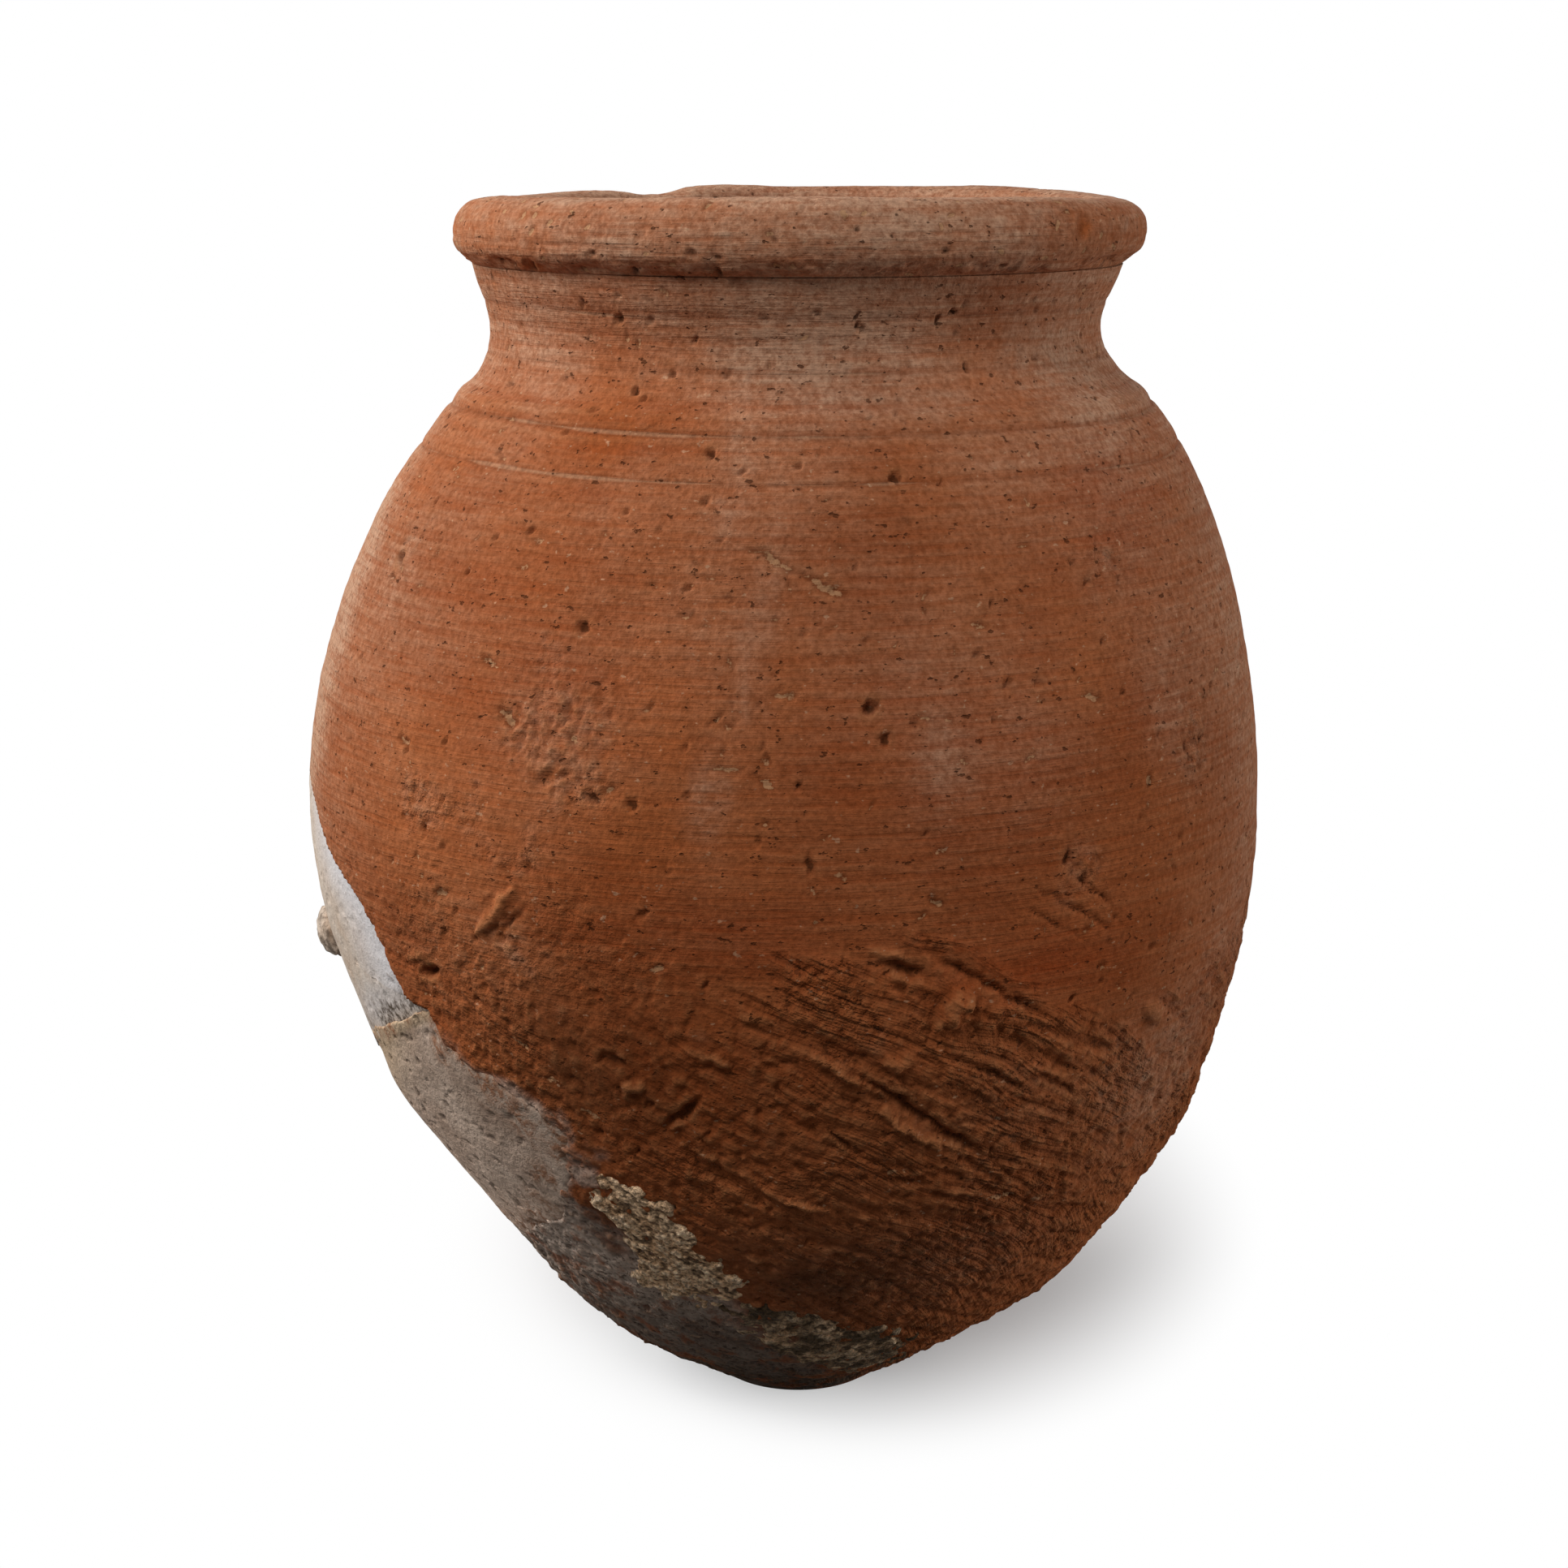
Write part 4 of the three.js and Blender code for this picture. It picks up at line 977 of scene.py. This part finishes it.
# Lower plaster fill
# A second, greyer batch of plaster below the first, brought up nearly flush, its top edge left as a
# small ridge and its lower side smeared out thin over the clay and grimed.
lower_outline = FILL_JOINT[::-1] + LOWER_BREAK
theta, height, share = outline_grid(lower_outline, BREAK_AZIMUTH, FILL_COLUMNS, FILL_RINGS, (1.8, 0.8), 221)
sideways = wall_radius(height) * np.sin(theta - BREAK_AZIMUTH)
under_joint = np.interp(sideways, *np.array(FILL_JOINT).T) - height
plaster = hand_level(theta, height) - 0.25 + 0.30 * clay_noise(theta, height, 18, 225)
plaster = plaster + 0.10 * clay_noise(theta, height, 4, 226, 3) - 0.55 * step(10, 0.5, under_joint)
pitted = step(0.50, 0.85, clay_noise(theta, height, 1.9, 228, 2))
ragged = share + 0.02 * clay_noise(theta, height, 5, 229, 3)
plaster = plaster - 0.35 * pitted + 0.35 * step(0.70, 0.95, share) - 1.2 * step(0.965, 1.0, ragged)

# Lime plaster with ash and sand in it: grey-buff, matt, gritty and pitted, its pits darkened partly by
# grime and partly by painted shade, and paler towards its foot with painted light thrown up from below.
ash_plaster = bpy.data.materials.new("grey_lime_plaster")
tree = bare_tree(ash_plaster)
place = add(tree, "ShaderNodeTexCoord", out="Object")
buff = add(tree, SHARE, out="Fac", attribute_name="buff")
pit = add(tree, SHARE, out="Fac", attribute_name="pit")
clayey = add(tree, SHARE, out="Fac", attribute_name="clayey")
cloud = add(tree, NOISE, {"Vector": place, "Scale": 1000 / 12, "Detail": 5.0, "Roughness": 0.65})
cloud = add(tree, RANGE, [cloud, 0.36, 0.64])
speckle = add(tree, NOISE, {"Vector": place, "Scale": 1000 / 1.5, "Detail": 3.0, "Roughness": 0.7})
colour = add(tree, MIX, [cloud, linear("#ad9380"), linear("#cab29f")], data_type="RGBA")
colour = add(tree, MIX, [buff, colour, linear("#ceb293")], data_type="RGBA")
high = add(tree, "ShaderNodeSeparateXYZ", [place], out="Z")
# Paler towards its foot: painted light thrown up from below.
painted_floor_light = add(tree, RANGE, [high, 50 * MM, 76 * MM, 1.70, 0.92])
colour = add(tree, MIX, [1.0, colour, painted_floor_light], data_type="RGBA", blend_type="MULTIPLY")
dark = add(tree, RANGE, [speckle, 0.52, 0.70, 0.0, 0.6])
smear = add(tree, RANGE, [speckle, 0.40, 0.55])
smear = add(tree, MATH, [smear, clayey], operation="MULTIPLY")
# Pits are darkened, partly grime and partly painted shade.
pit = add(tree, MATH, [pit, 0.45], operation="MULTIPLY")
for coat, code in [(dark, "#6a5646"), (smear, "#94603f"), (pit, "#4a3d33")]:
    colour = add(tree, MIX, [coat, colour, linear(code)], data_type="RGBA")
bumps = add(tree, "ShaderNodeBump", {"Strength": 1.0, "Distance": 0.5 * MM, "Height": speckle})
shader = add(tree, "ShaderNodeBsdfPrincipled", {
    "Base Color": colour, "Roughness": 0.92, "Specular IOR Level": 0.12, "Normal": bumps,
})
add(tree, "ShaderNodeOutputMaterial", {"Surface": shader})
shares = {
    "buff": np.clip(step(16, 0, under_joint) * step(45, 18, sideways) + step(3, 0.5, under_joint), 0, 1),
    "pit": pitted,
    "clayey": np.clip(step(0.72, 1.0, share) * (0.7 + clay_noise(theta, height, 6, 231, 3)), 0, 0.8),
}
put_piece("plaster_fill_lower_cast", "plaster_fill_lower", ash_plaster, [
    sheet_shell(theta, height, plaster, np.minimum(plaster - FILL_THICKNESS, -1.5), shares),
])


# Plaster lump
# A pellet of plaster left standing on the upper fill, thumbed on and never trowelled off, grimed all
# over, and darkened on its underside with painted shade. It is a ball, drawn out to its sizes and made
# uneven by noise.
LUMP_AZIMUTH, LUMP_HEIGHT, LUMP_RADIUS = math.radians(-82), 97.0, 91
LUMP_REACH, LUMP_WIDTH, LUMP_TALL = 3.1, 6.0, 5.2
LUMP_SINK, LUMP_ROOT = 0.2, 1.2
LUMP_COLUMNS, LUMP_RINGS = 96, 50
polar = np.linspace(0, math.pi, LUMP_RINGS)[1:-1, None]
turn = np.linspace(0, 2 * math.pi, LUMP_COLUMNS, endpoint=False)
ball = np.stack([np.sin(polar) * np.cos(turn), np.sin(polar) * np.sin(turn), np.cos(polar) + 0 * turn])
bulge = 1 + 0.14 * grain(*(2 * ball), 241) + 0.03 * grain(*(6 * ball), 243)
lump_theta = LUMP_AZIMUTH + LUMP_WIDTH * ball[0] * bulge / LUMP_RADIUS
lump_height = LUMP_HEIGHT + LUMP_TALL * ball[1] * bulge
outwards = -ball[2] * bulge
lump_raised = np.where(outwards > 0, LUMP_REACH, LUMP_ROOT) * outwards
lump_raised = hand_level(lump_theta, lump_height) - LUMP_SINK + lump_raised
lump_points = on_wall(lump_theta, lump_height, lump_raised)
# Grime all over, and painted shade darkening the underside.
lump_grime_and_shade = np.clip(0.55 + step(3, -5, lump_height - LUMP_HEIGHT) * 0.4 * bulge, 0, 1)
shares = {"edge": 0 * lump_grime_and_shade, "grime": lump_grime_and_shade}
put_piece("plaster_lump_pellet", "plaster_lump", gypsum, [(lump_points, 1, shares, None)])


# Lime crust
# A patch of sandy lime that set on the lower front while the jar lay in the ground: coarse, crumbly
# grains, bonded to the clay and broken off raggedly round the edge.
CRUST_AZIMUTH = math.radians(-20)
CRUST_COLUMNS, CRUST_RINGS = 420, 90
LIME_CRUST = [
    (2.5, 35), (11.5, 41.5), (12.5, 45), (6.5, 53), (6, 59), (0, 66.5),
    (-8.5, 67), (-14, 64), (-8, 55), (-8, 48), (-12, 42),
]


def crust_shell(corners, azimuth, thickness, grime, seed):
    """Sandy sheet over an outline: even in the middle, sinking into the clay at a ragged edge.

    Its height is the cover, eased from 1 in the middle to 0 at the edge, times the thickness and grains.
    """
    theta, height, share = outline_grid(corners, azimuth, CRUST_COLUMNS, CRUST_RINGS, (2.0, 1.0), seed)
    grains = 0.65 * clay_noise(theta, height, 1.2, seed + 2, 2)
    grains = grains + 0.3 * clay_noise(theta, height, 4.5, seed + 5)
    cover = step(1.02, 0.70, share + 0.26 * clay_noise(theta, height, 4, seed + 8, 3))
    raised = hand_level(theta, height) - 0.7 + (thickness + 0.4) * cover ** 0.85 + 0.45 * grains * cover
    raised = raised - step(0.97, 1.0, share)
    grimed = grime * (1 + 0.9 * clay_noise(theta, height, 3.6, seed + 11, 3))
    shares = {"grains": np.clip(0.5 + 0.7 * grains, 0, 1), "grime": np.clip(grimed, 0, 1)}
    return sheet_shell(theta, height, raised, np.minimum(raised - 0.6, -1.6), shares)


# Sandy lime crust: pale grains of carbonate and quartz in tan earth, their crests lit partly with painted
# highlight, and painted shade dark brown between them.
sandy_lime = bpy.data.materials.new("sandy_lime_crust")
tree = bare_tree(sandy_lime)
place = add(tree, "ShaderNodeTexCoord", out="Object")
grains = add(tree, SHARE, out="Fac", attribute_name="grains")
grime = add(tree, SHARE, out="Fac", attribute_name="grime")
cloud = add(tree, NOISE, {"Vector": place, "Scale": 1000 / 9, "Detail": 4.0, "Roughness": 0.6})
cloud = add(tree, RANGE, [cloud, 0.36, 0.64])
sand = add(tree, NOISE, {"Vector": place, "Scale": 1000 / 0.9, "Detail": 3.0, "Roughness": 0.75})
colour = add(tree, MIX, [cloud, linear("#c49a73"), linear("#e9c49d")], data_type="RGBA")
# Crests of the grains paler, partly their own colour and partly painted highlight; painted shade between
# them.
pale_grain_and_highlight = add(tree, RANGE, [grains, 0.50, 0.90, 0.0, 0.60])
crevice_shade = add(tree, RANGE, [grains, 0.48, 0.20, 0.0, 0.78])
for coat, code in [(pale_grain_and_highlight, "#dfc8aa"), (crevice_shade, "#3a2a1c"), (grime, "#463726")]:
    colour = add(tree, MIX, [coat, colour, linear(code)], data_type="RGBA")
# Tone follows the sand's bump: painted shade in its low places and painted light on its high ones.
grain_light_and_shade = add(tree, RANGE, [sand, 0.38, 0.62, 0.42, 1.95])
colour = add(tree, MIX, [1.0, colour, grain_light_and_shade], data_type="RGBA", blend_type="MULTIPLY")
bumps = add(tree, "ShaderNodeBump", {"Strength": 1.0, "Distance": 0.9 * MM, "Height": sand})
shader = add(tree, "ShaderNodeBsdfPrincipled", {
    "Base Color": colour, "Roughness": 0.95, "Specular IOR Level": 0.1, "Normal": bumps,
})
add(tree, "ShaderNodeOutputMaterial", {"Surface": shader})
put_piece("lime_crust_patch", "lime_crust", sandy_lime, [
    crust_shell(LIME_CRUST, CRUST_AZIMUTH, thickness=0.8, grime=0.0, seed=261),
])


# Foot crust
# A thinner patch of the same deposit just above the resting flat, darkened with grime where the jar
# stood in the earth.
FOOT_CRUST_AZIMUTH = math.radians(4)
FOOT_CRUST = [
    (-15, 28), (-3, 20.5), (8, 12), (17, 14), (20, 20), (18, 25),
    (11.5, 30), (5, 29.5), (-8, 36.5), (-14.5, 38.5), (-20, 35.5),
]
put_piece("foot_crust_patch", "foot_crust", sandy_lime, [
    crust_shell(FOOT_CRUST, FOOT_CRUST_AZIMUTH, thickness=0.6, grime=0.68, seed=281),
])


# Floor
# Plain pale sheet of paper that the jar stands on: rings of faces round a small disc, a hair's breadth
# below the foot. It is white to the eye, and keeps the jar's soft shadow inside an oval behind it.
FLOOR_DROP = 0.0001
FLOOR_SPOKES = 96
FLOOR_RINGS = (0.05, 0.2, 0.5, 1.2, 3.0)
SHADOW_MIDDLE = (0.014, 0.104, 0.0)
SHADOW_REACH = (0.084, 0.130, 1.0)
floor_turn = np.linspace(0, 2 * math.pi, FLOOR_SPOKES, endpoint=False)
floor_reach = np.array(FLOOR_RINGS)[:, None]
floor_points = np.stack(np.broadcast_arrays(
    floor_reach * np.cos(floor_turn), floor_reach * np.sin(floor_turn), -FLOOR_DROP,
), -1).reshape(-1, 3)
ring = FLOOR_SPOKES * np.arange(len(FLOOR_RINGS) - 1)
ring, spoke = np.meshgrid(ring, np.arange(FLOOR_SPOKES), indexing="ij")
beside, outer = (spoke + 1) % FLOOR_SPOKES, ring + FLOOR_SPOKES
floor_faces = np.stack([ring + spoke, outer + spoke, outer + beside, ring + beside], -1).reshape(-1, 4)
floor_mesh = bpy.data.meshes.new("floor")
floor_mesh.from_pydata(floor_points, [], [*floor_faces.tolist(), list(range(FLOOR_SPOKES))])
floor = bpy.data.objects.new("floor", floor_mesh)
bpy.context.scene.collection.objects.link(floor)


def seen_directly(tree):
    """1 for a ray from the camera or by way of a polished or clear surface, and 0 for other light."""
    seen = add(tree, "ShaderNodeLightPath", out="Is Camera Ray")
    rays = seen.node.outputs
    for kind in ("Is Glossy Ray", "Is Transmission Ray"):
        seen = add(tree, MATH, [seen, rays[kind]], operation="MAXIMUM")
    return seen


# Matt white paper: pure white to the eye away from the shadow, and a mid grey in the light it throws back.
paper = bpy.data.materials.new("white_floor_paper")
tree = bare_tree(paper)
place = add(tree, "ShaderNodeTexCoord", out="Object")
oval_place = add(tree, "ShaderNodeMapping", {
    "Vector": place, "Location": SHADOW_MIDDLE, "Scale": SHADOW_REACH,
}, vector_type="TEXTURE")
reach = add(tree, "ShaderNodeVectorMath", [oval_place], out="Value", operation="LENGTH")
away = add(tree, RANGE, [reach, 0.66, 1.22, 0.08, 1.0], interpolation_type="SMOOTHSTEP")
white = add(tree, "ShaderNodeEmission", [(1, 1, 1, 1), 1.0])
lit = add(tree, "ShaderNodeBsdfDiffuse", {"Color": linear("#ffffff")})
grey = add(tree, "ShaderNodeBsdfDiffuse", {"Color": linear("#606060")})
shown = add(tree, "ShaderNodeMixShader", [away, lit, white])
sheet = add(tree, "ShaderNodeMixShader", [seen_directly(tree), grey, shown])
add(tree, "ShaderNodeOutputMaterial", {"Surface": sheet})
floor_mesh.materials.append(paper)


# Light
# Four soft lamps round the jar, a wide one at the left, a smaller one high in front, and low ones at the
# right and behind, in a dim room whose walls look white.
LAMP_AIM = (0, 0, 0.12)
ROOM_LIGHT = 0.14


def soft_lamp(name, azimuth, elevation, distance, size, watts):
    """Square lamp on a sphere about the jar's middle, facing it, by degrees, metres and watts."""
    a, e = math.radians(azimuth), math.radians(elevation)
    away = np.array([math.sin(a) * math.cos(e), -math.cos(a) * math.cos(e), math.sin(e)])
    data = bpy.data.lights.new(name, "AREA")
    data.size, data.energy = size, watts
    lamp = bpy.data.objects.new(name, data)
    lamp.location = away * distance + np.array(LAMP_AIM)
    lamp.rotation_euler = (math.radians(90 - elevation), 0, a)
    lamp.visible_camera = False
    bpy.context.scene.collection.objects.link(lamp)


soft_lamp("lamp_left", -98, 29, 0.9, 0.45, 6.1)
soft_lamp("lamp_front", -28, 46, 1.0, 0.28, 4.25)
soft_lamp("lamp_right", 86, 4, 1.0, 0.5, 3.8)
soft_lamp("lamp_back", 170, 20, 1.0, 0.5, 2.8)
world = bpy.data.worlds.new("pale_room")
bpy.context.scene.world = world
tree = bare_tree(world)
dim = add(tree, "ShaderNodeBackground", [(1, 1, 1, 1), ROOM_LIGHT])
white = add(tree, "ShaderNodeBackground", [(1, 1, 1, 1), 1.0])
room = add(tree, "ShaderNodeMixShader", [seen_directly(tree), dim, white])
add(tree, "ShaderNodeOutputWorld", {"Surface": room})
bpy.context.scene.view_settings.view_transform = "Standard"


# Camera
# A little above the mouth, looking down at the belly.
CAMERA_PLACE = (0.0, -0.560, 0.2536)
CAMERA_TILT = 13.04
camera_data = bpy.data.cameras.new("camera")
camera_data.lens, camera_data.sensor_width = 65.6, 36.0
camera_data.clip_start = 0.01
camera = bpy.data.objects.new("camera", camera_data)
camera.location = CAMERA_PLACE
camera.rotation_euler = (math.radians(90 - CAMERA_TILT), 0, 0)
bpy.context.scene.collection.objects.link(camera)
bpy.context.scene.camera = camera
